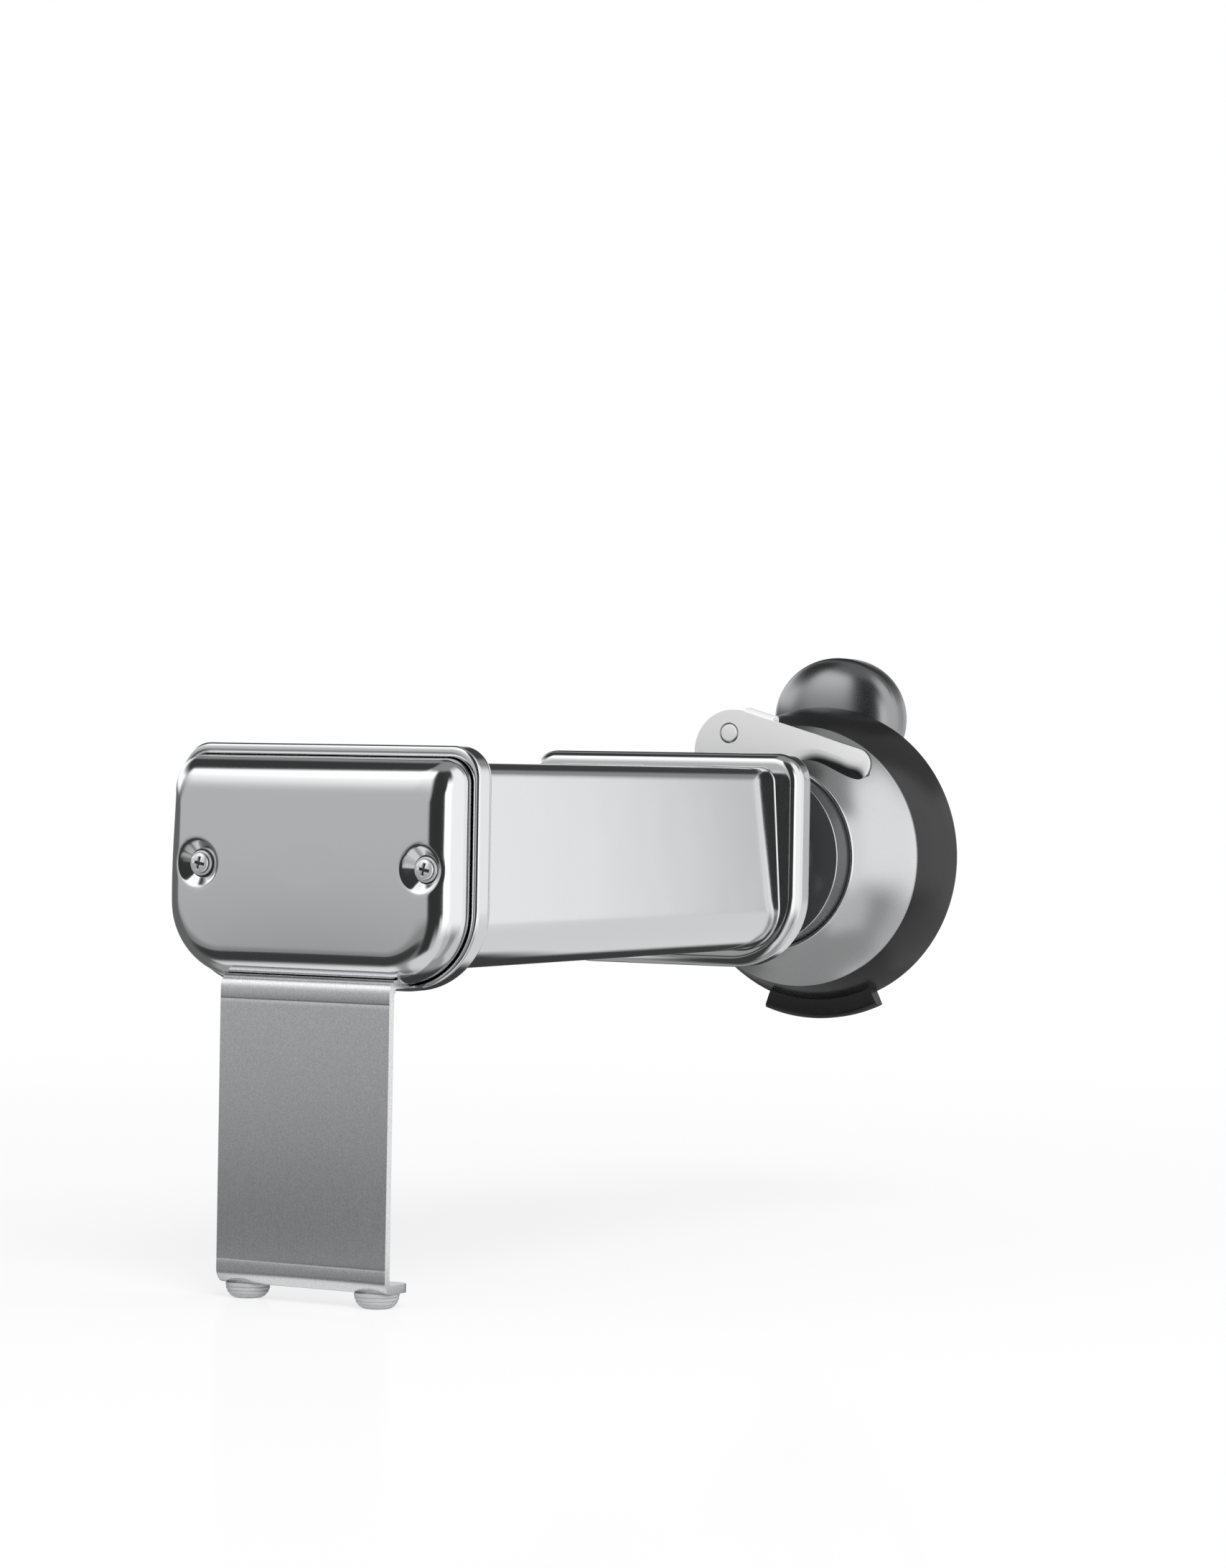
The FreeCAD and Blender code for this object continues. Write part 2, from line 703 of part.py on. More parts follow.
# Bell: flared casting with the bearing boss and the ear of the lever's pin
bell_r = mouth_r + bell_flare
bush_seat = shaft_r + run_clear + shaft_bush_wall
boss_r = bush_seat + boss_wall
boss_hole = boss_r + boss_clear
spigot_bore = spigot_r - spigot_wall
x_boss = x_web - boss_front
x_boss_end = x_edge + boss_back
bell = turned(
    [(x_mouth, hub_r + hub_fit)] + round_corner(x_mouth, mouth_r, bell_round)
    + [(x_mouth + bell_len * bell_along, mouth_r + bell_flare * bell_out, True), (x_edge - bell_rim, bell_r),
       (x_edge, bell_r), (x_edge, boss_r), (x_boss_end, boss_r), (x_boss_end, bush_seat),
       (x_boss, bush_seat), (x_boss, boss_r), (x_web, boss_r), (x_web, hub_r + hub_fit)])
pivot_z = lever_low + pivot_rise
x_pin_end = x_lever + pin_grip
bell = bell.fuse(rod(x_lever + lever_gap, x_edge, pivot_r + ear_wall, pivot_y, pivot_z)).removeSplitter()
bell = bell.cut(rod(x_lever, x_pin_end, pivot_r, pivot_y, pivot_z))
collar_pcd = (boss_hole + spigot_bore) / 2
collar_spots = [(collar_pcd * math.cos(a), collar_pcd * math.sin(a))
                for a in (-math.pi / 2, math.pi / 6, math.pi * 5 / 6)]
for y, z in collar_spots:
    bell = bell.cut(rod(x_web, x_edge, m4_tap, y, z))
out("bell", bell)
out("lever_pin", rod(x_front - pin_head, x_pin_end, pivot_r, pivot_y, pivot_z))

# Collar: flared skirt behind the bell, body with a lower tongue, and the spigot behind the seat
collar_front = bell_r - collar_step
collar_r = collar_front + collar_flare
tongue_r = collar_r + tongue_reach
x_web_back = x_edge + collar_web
collar = turned([
    (x_edge, boss_hole), (x_edge, collar_front),
    ((x_edge + x_back) / 2, (collar_front + collar_r) / 2 + collar_swell, True), (x_back, collar_r),
    (x_back, body_r), (0, body_r), (0, spigot_r), (spigot_len - spigot_chamfer, spigot_r),
    (spigot_len, spigot_r - spigot_chamfer), (spigot_len, spigot_bore),
    (x_web_back, spigot_bore), (x_web_back, boss_hole)])
x_tongue = x_back - tongue_t
sides = [V(x_tongue, -2 * tongue_r * math.sin(a), -2 * tongue_r * math.cos(a))
         for a in (tongue_turn - tongue_half, tongue_turn + tongue_half)]
hinge_point = V(x_tongue, 0, 0)
wedge = Part.Face(Part.makePolygon([hinge_point] + sides + [hinge_point])).extrude(V(tongue_t, 0, 0))
collar = collar.fuse(tube(x_tongue, x_back, tongue_r, body_r).common(wedge)).removeSplitter()
for y, z in collar_spots:
    collar = collar.cut(rod(x_edge, x_web_back, m4_hole, y, z))
out("collar", collar)
out("collar_screws", *[
    screw(m4, collar_web + web_t, V(x_web_back, y, z), V(-1, 0, 0)) for y, z in collar_spots])

# Dome on the body behind the collar: half an ellipsoid in front of a straight plug, cut to the body
stretch = FreeCAD.Matrix()
stretch.scale(dome_set - dome_gap, dome_w, dome_h)
dome = Part.makeSphere(1.0, V(0, 0, 0), V(-1, 0, 0), 0, 90, 360).transformGeometry(stretch)
plug = Part.makeCylinder(1.0, 1.0, V(0, 0, 0), V(1, 0, 0))
stretch = FreeCAD.Matrix()
stretch.scale(body_len - dome_set, dome_w, dome_h)
dome = dome.fuse(plug.transformGeometry(stretch))
dome.translate(V(x_back + dome_set, 0, body_r + dome_rise))
out("dome", dome.cut(rod(x_back, 0, body_r)))

# Drive shaft, its bush and its retaining ring
x_bush = x_boss - shaft_bush_lip
x_shoulder = x_bush - end_float
x_socket = x_tang + tang_float - socket_depth
x_clip = x_boss_end + end_float
clip_groove = shaft_r - ring_groove
shaft = turned([
    (x_socket, 0), (x_socket, socket_r), (x_shoulder, socket_r), (x_shoulder, shaft_r),
    (x_clip, shaft_r), (x_clip, clip_groove), (x_clip + ring_t, clip_groove),
    (x_clip + ring_t, shaft_r), (0, shaft_r), (0, 0)])
shaft = shaft.fuse(prism(0, drive_len, drive_af))
out("drive_shaft", shaft.cut(prism(x_socket, x_socket + socket_depth, socket_af)).removeSplitter())
shaft_bore = shaft_r + run_clear
out("shaft_bush", turned([
    (x_bush, shaft_bore), (x_bush, bush_seat + shaft_bush_flange), (x_boss, bush_seat + shaft_bush_flange),
    (x_boss, bush_seat), (x_boss_end, bush_seat), (x_boss_end, shaft_bore)]))
out("shaft_ring", open_ring(x_clip, clip_groove))

# Locking lever: plate with a round lobe, a folded tab, a tapered arm and a key in the hub's slot
lobe_z = lever_low + lobe_rise
tip_z = lever_low + tip_rise
tip_bottom = tip_z - tip_r


def at(y, z):
    return V(x_front, y, z)


def round_lobe(angle):
    return at(lobe_y + lobe_r * math.cos(angle), lobe_z + lobe_r * math.sin(angle))


lobe_first = -math.asin(lobe_rise / lobe_r)
lobe_last = math.atan2(tab_rise - lobe_rise, tab_y - lobe_y)
lobe_low, lobe_top = round_lobe(lobe_first), round_lobe(lobe_last)
arm = at(-tip_y, tip_z + tip_r) - lobe_top
away = V(0, arm.z, -arm.y).normalize()
tip_top = at(-tip_y, tip_z) + away * tip_r
tip_low = at(-tip_y, tip_bottom)
tip_side = at(-tip_y, tip_z) + (away + V(0, -1, -1)).normalize() * tip_r
waist_end = at(-tip_y + waist_len, lever_low)
waist = Part.BSplineCurve()
waist.interpolate(Points=[tip_low, waist_end], InitialTangent=V(0, 1, 0), FinalTangent=V(0, 1, 0))
key_a, key_b = key_y - key_w / 2, key_y + key_w / 2
foot_points = [waist_end, at(key_a, lever_low), at(key_a, key_low), at(key_b, key_low), at(key_b, lever_low),
               lobe_low]
lever_edges = [
    Part.Arc(lobe_low, round_lobe((lobe_first + lobe_last) / 2), lobe_top).toShape(),
    Part.makeLine(lobe_top, tip_top),
    Part.Arc(tip_top, tip_side, tip_low).toShape(),
    waist.toShape()]
lever_edges += [Part.makeLine(a, b) for a, b in zip(foot_points, foot_points[1:])]
lever = Part.Face(Part.Wire(lever_edges)).extrude(V(lever_t, 0, 0))

edge_dir = (tip_top - lobe_top).normalize()
edge_up = V(0, edge_dir.z, -edge_dir.y)
fold_at = lobe_top + V(lever_t / 2, 0, 0)
fold = strip([(0, -2 * lever_t), (0, tab_up), (tab_back, tab_up)], [tab_bend], lever_t,
             lambda u, v: fold_at + V(u, 0, 0) + edge_up * v)
lever = lever.fuse(fold.extrude(edge_dir * tab_w)).removeSplitter()
lever = lever.cut(rod(x_front, x_lever, pivot_r + run_clear, pivot_y, pivot_z))
scoop_from = at(-tip_y + scoop_in, tip_bottom)
scoop_axis = at(-tip_y + scoop_in + scoop_len, lever_low) - scoop_from
scoop = Part.makeCylinder(scoop_r, scoop_axis.Length, scoop_from + V(scoop_depth - scoop_r, 0, 0), scoop_axis)
out("lever", lever.cut(scoop))
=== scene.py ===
import bmesh
import bpy
import json
import math
import numpy as np
from mathutils import Matrix, Vector


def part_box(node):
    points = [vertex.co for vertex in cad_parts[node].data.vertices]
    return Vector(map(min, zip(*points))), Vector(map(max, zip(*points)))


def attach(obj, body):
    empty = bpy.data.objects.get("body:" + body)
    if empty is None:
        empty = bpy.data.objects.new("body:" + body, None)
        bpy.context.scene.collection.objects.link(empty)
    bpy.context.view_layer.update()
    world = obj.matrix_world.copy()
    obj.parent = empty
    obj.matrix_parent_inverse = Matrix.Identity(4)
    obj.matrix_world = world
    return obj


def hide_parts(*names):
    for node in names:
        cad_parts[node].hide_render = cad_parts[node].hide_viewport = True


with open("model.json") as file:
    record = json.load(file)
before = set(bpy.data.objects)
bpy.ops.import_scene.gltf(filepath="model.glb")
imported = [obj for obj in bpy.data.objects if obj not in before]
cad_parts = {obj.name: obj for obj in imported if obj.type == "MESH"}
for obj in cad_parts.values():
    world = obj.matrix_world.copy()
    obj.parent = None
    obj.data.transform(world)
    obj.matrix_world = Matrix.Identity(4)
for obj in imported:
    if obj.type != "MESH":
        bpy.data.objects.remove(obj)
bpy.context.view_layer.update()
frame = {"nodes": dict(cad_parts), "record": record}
slot_of = {part["node"]: part["material_slot"] for part in frame["record"]["subparts"]}

# Metres in a millimetre, and the sockets of a Mix node: its two numbers and its two colours
per_mm = 0.001
number_a, number_b, colour_a, colour_b = 2, 3, 6, 7

# Places in millimetres, read from the frame: X along the cutters, Y to the back, Z up
least, most = {}, {}
for node in frame["nodes"]:
    least[node], most[node] = (np.array(corner, float) * 1000 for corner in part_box(node))
x_rim_l, y_front, z_bot = least["tray_left"]
x_in_l, y_back, z_top = most["tray_left"]
x_in_r = least["tray_right"][0]
x_face = least["cover_left"][0]
x_leg, leg_front, z_leg_bot = least["leg"]
leg_w, z_flange = most["leg"][1] - leg_front, most["leg"][2]
floor_z = least["foot_bumpers"][2]
x_edge = least["collar"][0]
x_front = least["lever"][0]
mid_y, mid_z = (y_front + y_back) / 2, (z_bot + z_top) / 2
washer_r, pin_r, lever_t = 3.5, 2.25, 1.6
posts = ((least["cover_washers"][1] + washer_r, mid_z), (most["cover_washers"][1] - washer_r, mid_z))
pivot_y, pivot_z = (least["lever_pin"][1:] + most["lever_pin"][1:]) / 2
x_mouth, x_back = x_edge - 18.8, x_edge + 14.0
x_hub = x_mouth - 7.4

# Sheet of the side trays: thickness, bend, depth and the outline's corner radii
tray_t, tray_bend, tray_depth = 0.8, 3.0, x_in_l - x_rim_l
r_top, r_bot = 7.3, 18.5


def linear(code):
    """An sRGB hex colour as linear red, green, blue and alpha."""
    c = np.array([int(code[i:i + 2], 16) for i in (1, 3, 5)]) / 255
    return (*np.where(c <= 0.04045, c / 12.92, ((c + 0.055) / 1.055) ** 2.4), 1.0)


def add(tree, kind, feeds=None, **settings):
    """Adds a shader node: feeds sets or links its inputs, settings are its own fields."""
    made = tree.nodes.new("ShaderNode" + kind)
    for key, value in settings.items():
        setattr(made, key, value)
    for key, value in (feeds or {}).items():
        if isinstance(value, bpy.types.NodeSocket):
            tree.links.new(value, made.inputs[key])
        else:
            made.inputs[key].default_value = value
    return made


def rounded(points, radii, steps=8, closed=False):
    """Chain of straight runs with each corner replaced by an arc that touches both its runs."""
    p = np.asarray(points, float)
    parts = []
    for i, r in enumerate(radii):
        if r <= 0 or (not closed and i in (0, len(p) - 1)):
            parts.append(p[i:i + 1])
            continue
        u, v = p[i - 1] - p[i], p[(i + 1) % len(p)] - p[i]
        u, v = u / np.linalg.norm(u), v / np.linalg.norm(v)
        half = math.acos(np.clip(u @ v, -1, 1)) / 2
        middle = p[i] + (u + v) / np.linalg.norm(u + v) * r / math.sin(half)
        a, b = p[i] + u * r / math.tan(half) - middle, p[i] + v * r / math.tan(half) - middle
        first = math.atan2(a[1], a[0])
        sweep = (math.atan2(b[1], b[0]) - first + math.pi) % (2 * math.pi) - math.pi
        t = first + sweep * np.linspace(0, 1, steps + 1)
        parts.append(middle + r * np.stack([np.cos(t), np.sin(t)], 1))
    return np.concatenate(parts)


def through(a, m, b, steps=32):
    """Arc from a to b through m: points at equal angles on the circle of the three."""
    (ax, ay), (mx, my), (bx, by) = a, m, b
    d = 2 * (ax * (my - by) + mx * (by - ay) + bx * (ay - my))
    sa, sm, sb = ax ** 2 + ay ** 2, mx ** 2 + my ** 2, bx ** 2 + by ** 2
    c = np.array([(sa * (my - by) + sm * (by - ay) + sb * (ay - my)) / d,
                  (sa * (bx - mx) + sm * (ax - bx) + sb * (mx - ax)) / d])
    r = math.hypot(ax - c[0], ay - c[1])
    first = math.atan2(ay - c[1], ax - c[0])
    sweep = (math.atan2(by - c[1], bx - c[0]) - first + math.pi) % (2 * math.pi) - math.pi
    t = first + sweep * np.linspace(0, 1, steps + 1)
    return c + r * np.stack([np.cos(t), np.sin(t)], 1)


def lattice(points, wrap_rows=False, wrap_cols=False, caps=False, keep=None):
    """Quads over a grid of points, rows by columns. keep is a mask of the quads that stay, and caps closes
    the first and the last row with one face each."""
    rows, cols = points.shape[:2]
    n = np.arange(rows * cols).reshape(rows, cols)
    i = np.arange(rows if wrap_rows else rows - 1)[:, None]
    j = np.arange(cols if wrap_cols else cols - 1)[None, :]
    up, on = (i + 1) % rows, (j + 1) % cols
    quads = np.stack([n[i, j], n[i, on], n[up, on], n[up, j]], -1)
    faces = (quads.reshape(-1, 4) if keep is None else quads[keep]).tolist()
    if caps:
        faces += [n[0, ::-1].tolist(), n[-1].tolist()]
    return points.reshape(-1, 3), faces


def lathe(profile, y=0.0, z=0.0, segments=192, upright=None):
    """Turned surface: each profile point (along, radius) is carried round an axis along X at (y, z), or
    round an upright axis at the point (x, y) that upright gives."""
    p = np.asarray(profile, float)
    t = np.linspace(0, 2 * math.pi, segments, endpoint=False)
    along = np.repeat(p[:, :1], segments, 1)
    u, v = p[:, 1:] * np.cos(t), p[:, 1:] * np.sin(t)
    if upright is None:
        return np.stack([along, y + u, z + v], -1)
    return np.stack([upright[0] + u, upright[1] + v, along], -1)


def sheet_section(path, radii, t, steps=12):
    """Closed section of bent sheet, the rounded centre line moved half the thickness to each side, and the
    direction across the sheet at each of its points."""
    line = rounded(path, radii, steps)
    d = np.gradient(line, axis=0)
    side = np.stack([-d[:, 1], d[:, 0]], 1) / np.linalg.norm(d, axis=1, keepdims=True)
    section = np.concatenate([line + side * t / 2, (line - side * t / 2)[::-1]])
    return section, np.concatenate([side, side[::-1]])


def sheet(rows):
    """Bent sheet from equal sections in rows: a skin over the rows, and the strip of thickness at both
    ends."""
    points, faces = lattice(rows, wrap_cols=True)
    n = rows.shape[1]
    a = np.arange(n // 2 - 1)
    strip = np.stack([a, a + 1, n - 2 - a, n - 1 - a], 1)
    last = strip[:, ::-1] + (len(rows) - 1) * n
    return points, faces + strip.tolist() + last.tolist()


def piece(name, shells, body="frame", replaces=None, sharp=35.0, wall=0.0, bevel=0.0, like=None):
    """One object from shells of (points in mm, faces): doubles merged and faces turned outwards. An open
    skin, which gets its thickness from wall, is turned to face the left end, against X. The finish is that
    of the node that the piece replaces, or of the node like."""
    same_place, no_length = 2e-7, 1e-7
    mesh = bpy.data.meshes.new(name)
    start, points, faces = 0, [], []
    for p, f in shells:
        points.append(p)
        faces += [[i + start for i in face] for face in f]
        start += len(p)
    mesh.from_pydata(np.concatenate(points) * per_mm, [], faces)
    bm = bmesh.new()
    bm.from_mesh(mesh)
    bmesh.ops.remove_doubles(bm, verts=bm.verts, dist=same_place)
    bmesh.ops.dissolve_degenerate(bm, edges=bm.edges, dist=no_length)
    bmesh.ops.recalc_face_normals(bm, faces=bm.faces)
    if wall and sum(f.normal.x * f.calc_area() for f in bm.faces) > 0:
        bmesh.ops.reverse_faces(bm, faces=bm.faces)
    bm.to_mesh(mesh)
    bm.free()
    mesh.shade_smooth()
    mesh.set_sharp_from_angle(angle=math.radians(sharp))
    made = bpy.data.objects.new(name, mesh)
    bpy.context.scene.collection.objects.link(made)
    if wall:
        thick = made.modifiers.new("wall", "SOLIDIFY")
        thick.thickness, thick.offset, thick.use_even_offset = wall * per_mm, -1, True
    if bevel:
        soft = made.modifiers.new("broken_edge", "BEVEL")
        soft.width, soft.segments, soft.limit_method = bevel * per_mm, 2, "ANGLE"
        soft.angle_limit, soft.harden_normals = math.radians(50), True
    node = replaces or like
    mesh.materials.append(materials[slot_of[node]])
    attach(made, body)
    if replaces:
        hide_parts(replaces)


# Materials, one for each slot of the record; a grain finer than about 0.3 mm is drawn that coarse, to show
materials = {}


def finish(slot, name):
    """Empty material of a slot, its tree, and Object coordinates in millimetres."""
    made = bpy.data.materials.new(name)
    made.use_nodes = True
    made.node_tree.nodes.clear()
    place = add(made.node_tree, "TexCoord").outputs["Object"]
    in_mm = add(made.node_tree, "VectorMath", {0: place, "Scale": 1000.0}, operation="SCALE").outputs[0]
    materials[slot] = made
    return made.node_tree, in_mm


# Polished chrome on drawn sheet: a mirror that is a little wavy, with a faint grain that softens it
tree, mm = finish("chrome_sheet", "drawn_sheet_polished_chrome")
wave = add(tree, "TexNoise", {"Vector": mm, "Scale": 1 / 24, "Detail": 1.0})
grain = add(tree, "TexNoise", {"Vector": mm, "Scale": 1 / 0.5, "Detail": 2.0})
gloss = add(tree, "MapRange", {"Value": grain.outputs[0], "To Min": 0.06, "To Max": 0.15})
bump = add(tree, "Bump", {"Height": wave.outputs[0], "Strength": 0.25, "Distance": 0.0002})
metal = add(tree, "BsdfPrincipled", {"Base Color": linear("#DEDFE0"), "Metallic": 1.0,
                                     "Roughness": gloss.outputs[0], "Normal": bump.outputs[0]})
add(tree, "OutputMaterial", {"Surface": metal.outputs[0]})

# Satin stainless sheet: soft reflections over a faint upright grain from the belt, with small bright specks
tree, mm = finish("satin_sheet", "stainless_sheet_satin_ground")
belt = add(tree, "Mapping", {"Vector": mm, "Scale": (1 / 0.35, 1 / 0.35, 1 / 9.0)})
line = add(tree, "TexNoise", {"Vector": belt.outputs[0], "Scale": 1.0, "Detail": 3.0})
speck = add(tree, "TexNoise", {"Vector": mm, "Scale": 1 / 0.28, "Detail": 1.0})
dots = add(tree, "MapRange", {"Value": speck.outputs[0], "From Min": 0.35, "From Max": 0.65})
gloss = add(tree, "MapRange", {"Value": line.outputs[0], "To Min": 0.25, "To Max": 0.31})
tone = add(tree, "Mix", {"Factor": dots.outputs[0], colour_a: linear("#DADBDE"),
                         colour_b: linear("#EEEFF1")}, data_type="RGBA")
bump = add(tree, "Bump", {"Height": line.outputs[0], "Strength": 0.03, "Distance": 0.0001})
metal = add(tree, "BsdfPrincipled", {"Base Color": tone.outputs[2], "Metallic": 1.0,
                                     "Roughness": gloss.outputs[0], "Normal": bump.outputs[0]})
add(tree, "OutputMaterial", {"Surface": metal.outputs[0]})

# Bright zinc on formed screws: even pale metal, a little cloudy, with painted shade, a dark tone, down in
# the cross and at the rim, both of which lie in the same short stretch behind the cover's face
tree, mm = finish("screw_steel", "formed_steel_bright_zinc")
shade_start, shade_full, shade_last, shade_end = x_face + 1.3, x_face + 1.55, x_face + 1.9, x_face + 1.97
cloud = add(tree, "TexNoise", {"Vector": mm, "Scale": 1 / 1.2, "Detail": 2.0})
gloss = add(tree, "MapRange", {"Value": cloud.outputs[0], "To Min": 0.12, "To Max": 0.26})
spot = add(tree, "SeparateXYZ", {0: mm}).outputs["X"]
# Painted shade: dark where X lies in the stretch of the cross's floor and the head's rim
below = add(tree, "MapRange", {"Value": spot, "From Min": shade_start, "From Max": shade_full}).outputs[0]
above = add(tree, "MapRange", {"Value": spot, "From Min": shade_end, "From Max": shade_last}).outputs[0]
recess_shade = add(tree, "Math", {0: below, 1: above}, operation="MULTIPLY").outputs[0]
tone = add(tree, "Mix", {"Factor": recess_shade, colour_a: linear("#E6E7E8"), colour_b: linear("#434345")},
           data_type="RGBA")
metal = add(tree, "BsdfPrincipled", {"Base Color": tone.outputs[2], "Metallic": 0.6,
                                     "Roughness": gloss.outputs[0]})
add(tree, "OutputMaterial", {"Surface": metal.outputs[0]})

# Moulded silicone: milky and half see-through, with a soft sheen
tree, mm = finish("bumper_rubber", "moulded_silicone_translucent")
cloud = add(tree, "TexNoise", {"Vector": mm, "Scale": 1 / 2.0, "Detail": 2.0})
gloss = add(tree, "MapRange", {"Value": cloud.outputs[0], "To Min": 0.18, "To Max": 0.30})
rubber = add(tree, "BsdfPrincipled", {"Base Color": linear("#DCDDDF"), "Roughness": gloss.outputs[0],
                                      "IOR": 1.41, "Transmission Weight": 0.45})
add(tree, "OutputMaterial", {"Surface": rubber.outputs[0]})

# Satin chrome on a casting: soft wide highlights over a fine blasted grain; the dome at the back is darker
tree, mm = finish("cast_silver", "zinc_casting_satin_chrome")
grain = add(tree, "TexNoise", {"Vector": mm, "Scale": 1 / 0.3, "Detail": 2.0})
flow = add(tree, "TexNoise", {"Vector": mm, "Scale": 1 / 16, "Detail": 2.0})
gloss = add(tree, "MapRange", {"Value": grain.outputs[0], "To Min": 0.20, "To Max": 0.32})
skin = add(tree, "Bump", {"Height": flow.outputs[0], "Strength": 0.07, "Distance": 0.0004})
spot = add(tree, "SeparateXYZ", {0: mm}).outputs["X"]
back = add(tree, "MapRange", {"Value": spot, "From Min": x_back - 4, "From Max": x_back - 3}).outputs[0]
tone = add(tree, "Mix", {"Factor": back, colour_a: linear("#CDCECF"), colour_b: linear("#98999B")},
           data_type="RGBA")
metal = add(tree, "BsdfPrincipled", {"Base Color": tone.outputs[2], "Metallic": 1.0,
                                     "Roughness": gloss.outputs[0], "Normal": skin.outputs[0]})
add(tree, "OutputMaterial", {"Surface": metal.outputs[0]})

# Dark moulded plastic, glossy: clear soft reflections and a faint orange peel, near black on the collar and
# a paler grey on the hub
tree, mm = finish("dark_moulding", "moulded_plastic_dark_gloss")
peel = add(tree, "TexNoise", {"Vector": mm, "Scale": 1 / 3.0, "Detail": 1.0})
gloss = add(tree, "MapRange", {"Value": peel.outputs[0], "To Min": 0.16, "To Max": 0.24})
skin = add(tree, "Bump", {"Height": peel.outputs[0], "Strength": 0.10, "Distance": 0.0002})
spot = add(tree, "SeparateXYZ", {0: mm}).outputs["X"]
far = add(tree, "MapRange", {"Value": spot, "From Min": x_edge - 8, "From Max": x_edge - 6}).outputs[0]
tone = add(tree, "Mix", {"Factor": far, colour_a: linear("#414243"), colour_b: linear("#1D1D1E")},
           data_type="RGBA")
moulding = add(tree, "BsdfPrincipled", {"Base Color": tone.outputs[2], "Roughness": gloss.outputs[0],
                                        "IOR": 1.46, "Coat Weight": 0.15, "Coat Roughness": 0.12,
                                        "Normal": skin.outputs[0]})
add(tree, "OutputMaterial", {"Surface": moulding.outputs[0]})

# Nickel on the lever's sheet: a pale matt face; the sheared edges and the pressed hollow, which are what
# lies behind the face and below the tab, get painted shade: a dark tone that is also fully metallic
tree, mm = finish("lever_sheet", "steel_sheet_matt_nickel")
face_end, shade_full_from, pale_above, shade_full_below = x_front + 0.15, x_front + 0.9, 32.0, 30.0
frost = add(tree, "TexNoise", {"Vector": mm, "Scale": 1 / 0.4, "Detail": 3.0})
spot = add(tree, "SeparateXYZ", {0: mm}).outputs
deep = add(tree, "MapRange", {"Value": spot["X"], "From Min": face_end, "From Max": shade_full_from})
low = add(tree, "MapRange", {"Value": spot["Z"], "From Min": pale_above, "From Max": shade_full_below})
# Painted shade: dark behind the face and below the tab, on the sheared edges and in the pressed hollow
edge_and_hollow_shade = add(tree, "Math", {0: deep.outputs[0], 1: low.outputs[0]}, operation="MULTIPLY").outputs[0]
tone = add(tree, "Mix", {"Factor": edge_and_hollow_shade, colour_a: linear("#F2F2F2"), colour_b: linear("#6A6B6D")},
           data_type="RGBA")
metallic = add(tree, "MapRange", {"Value": edge_and_hollow_shade, "To Min": 0.2, "To Max": 1.0})
gloss = add(tree, "MapRange", {"Value": frost.outputs[0], "To Min": 0.30, "To Max": 0.42})
metal = add(tree, "BsdfPrincipled", {"Base Color": tone.outputs[2], "Metallic": metallic.outputs[0],
                                     "Roughness": gloss.outputs[0]})
add(tree, "OutputMaterial", {"Surface": metal.outputs[0]})

# Turned steel: rings round the axis from the tool, 0.4 mm apart
tree, mm = finish("turned_steel", "steel_fine_turned")
rings = add(tree, "TexWave", {"Vector": mm, "Scale": 2 * math.pi / (20 * 0.4), "Distortion": 0.4},
            bands_direction="X")
gloss = add(tree, "MapRange", {"Value": rings.outputs[1], "To Min": 0.20, "To Max": 0.32})
bump = add(tree, "Bump", {"Height": rings.outputs[1], "Strength": 0.15, "Distance": 0.00005})
metal = add(tree, "BsdfPrincipled", {"Base Color": linear("#B8B9BB"), "Metallic": 1.0,
                                     "Roughness": gloss.outputs[0], "Normal": bump.outputs[0]})
add(tree, "OutputMaterial", {"Surface": metal.outputs[0]})

# Sintered bronze: dull warm metal, full of fine pores
tree, mm = finish("sintered_bronze", "bronze_sintered")
pores = add(tree, "TexNoise", {"Vector": mm, "Scale": 1 / 0.35, "Detail": 3.0})
tone = add(tree, "Mix", {"Factor": pores.outputs[0], colour_a: linear("#7E5C36"),
                         colour_b: linear("#B88F58")}, data_type="RGBA")
metal = add(tree, "BsdfPrincipled", {"Base Color": tone.outputs[2], "Metallic": 1.0, "Roughness": 0.48})
add(tree, "OutputMaterial", {"Surface": metal.outputs[0]})

# White acetal: a waxy moulding, almost plain
tree, mm = finish("stripper_plastic", "moulded_acetal_white")
cloud = add(tree, "TexNoise", {"Vector": mm, "Scale": 1 / 4.0, "Detail": 2.0})
gloss = add(tree, "MapRange", {"Value": cloud.outputs[0], "To Min": 0.30, "To Max": 0.42})
acetal = add(tree, "BsdfPrincipled", {"Base Color": linear("#E6E5DF"), "Roughness": gloss.outputs[0],
                                      "IOR": 1.48})
add(tree, "OutputMaterial", {"Surface": acetal.outputs[0]})

# Zinc on sheet: pale cool metal with small crystals a few millimetres wide
tree, mm = finish("zinc_sheet", "steel_sheet_zinc_coated")
spangle = add(tree, "TexVoronoi", {"Vector": mm, "Scale": 1 / 3.5}).outputs["Distance"]
gloss = add(tree, "MapRange", {"Value": spangle, "To Min": 0.26, "To Max": 0.44})
tone = add(tree, "Mix", {"Factor": spangle, colour_a: linear("#B9BDBF"), colour_b: linear("#A2A6A9")},
           data_type="RGBA")
metal = add(tree, "BsdfPrincipled", {"Base Color": tone.outputs[2], "Metallic": 1.0,
                                     "Roughness": gloss.outputs[0]})
add(tree, "OutputMaterial", {"Surface": metal.outputs[0]})

for node, holder in frame["nodes"].items():
    holder.data.materials.clear()
    holder.data.materials.append(materials[slot_of[node]])


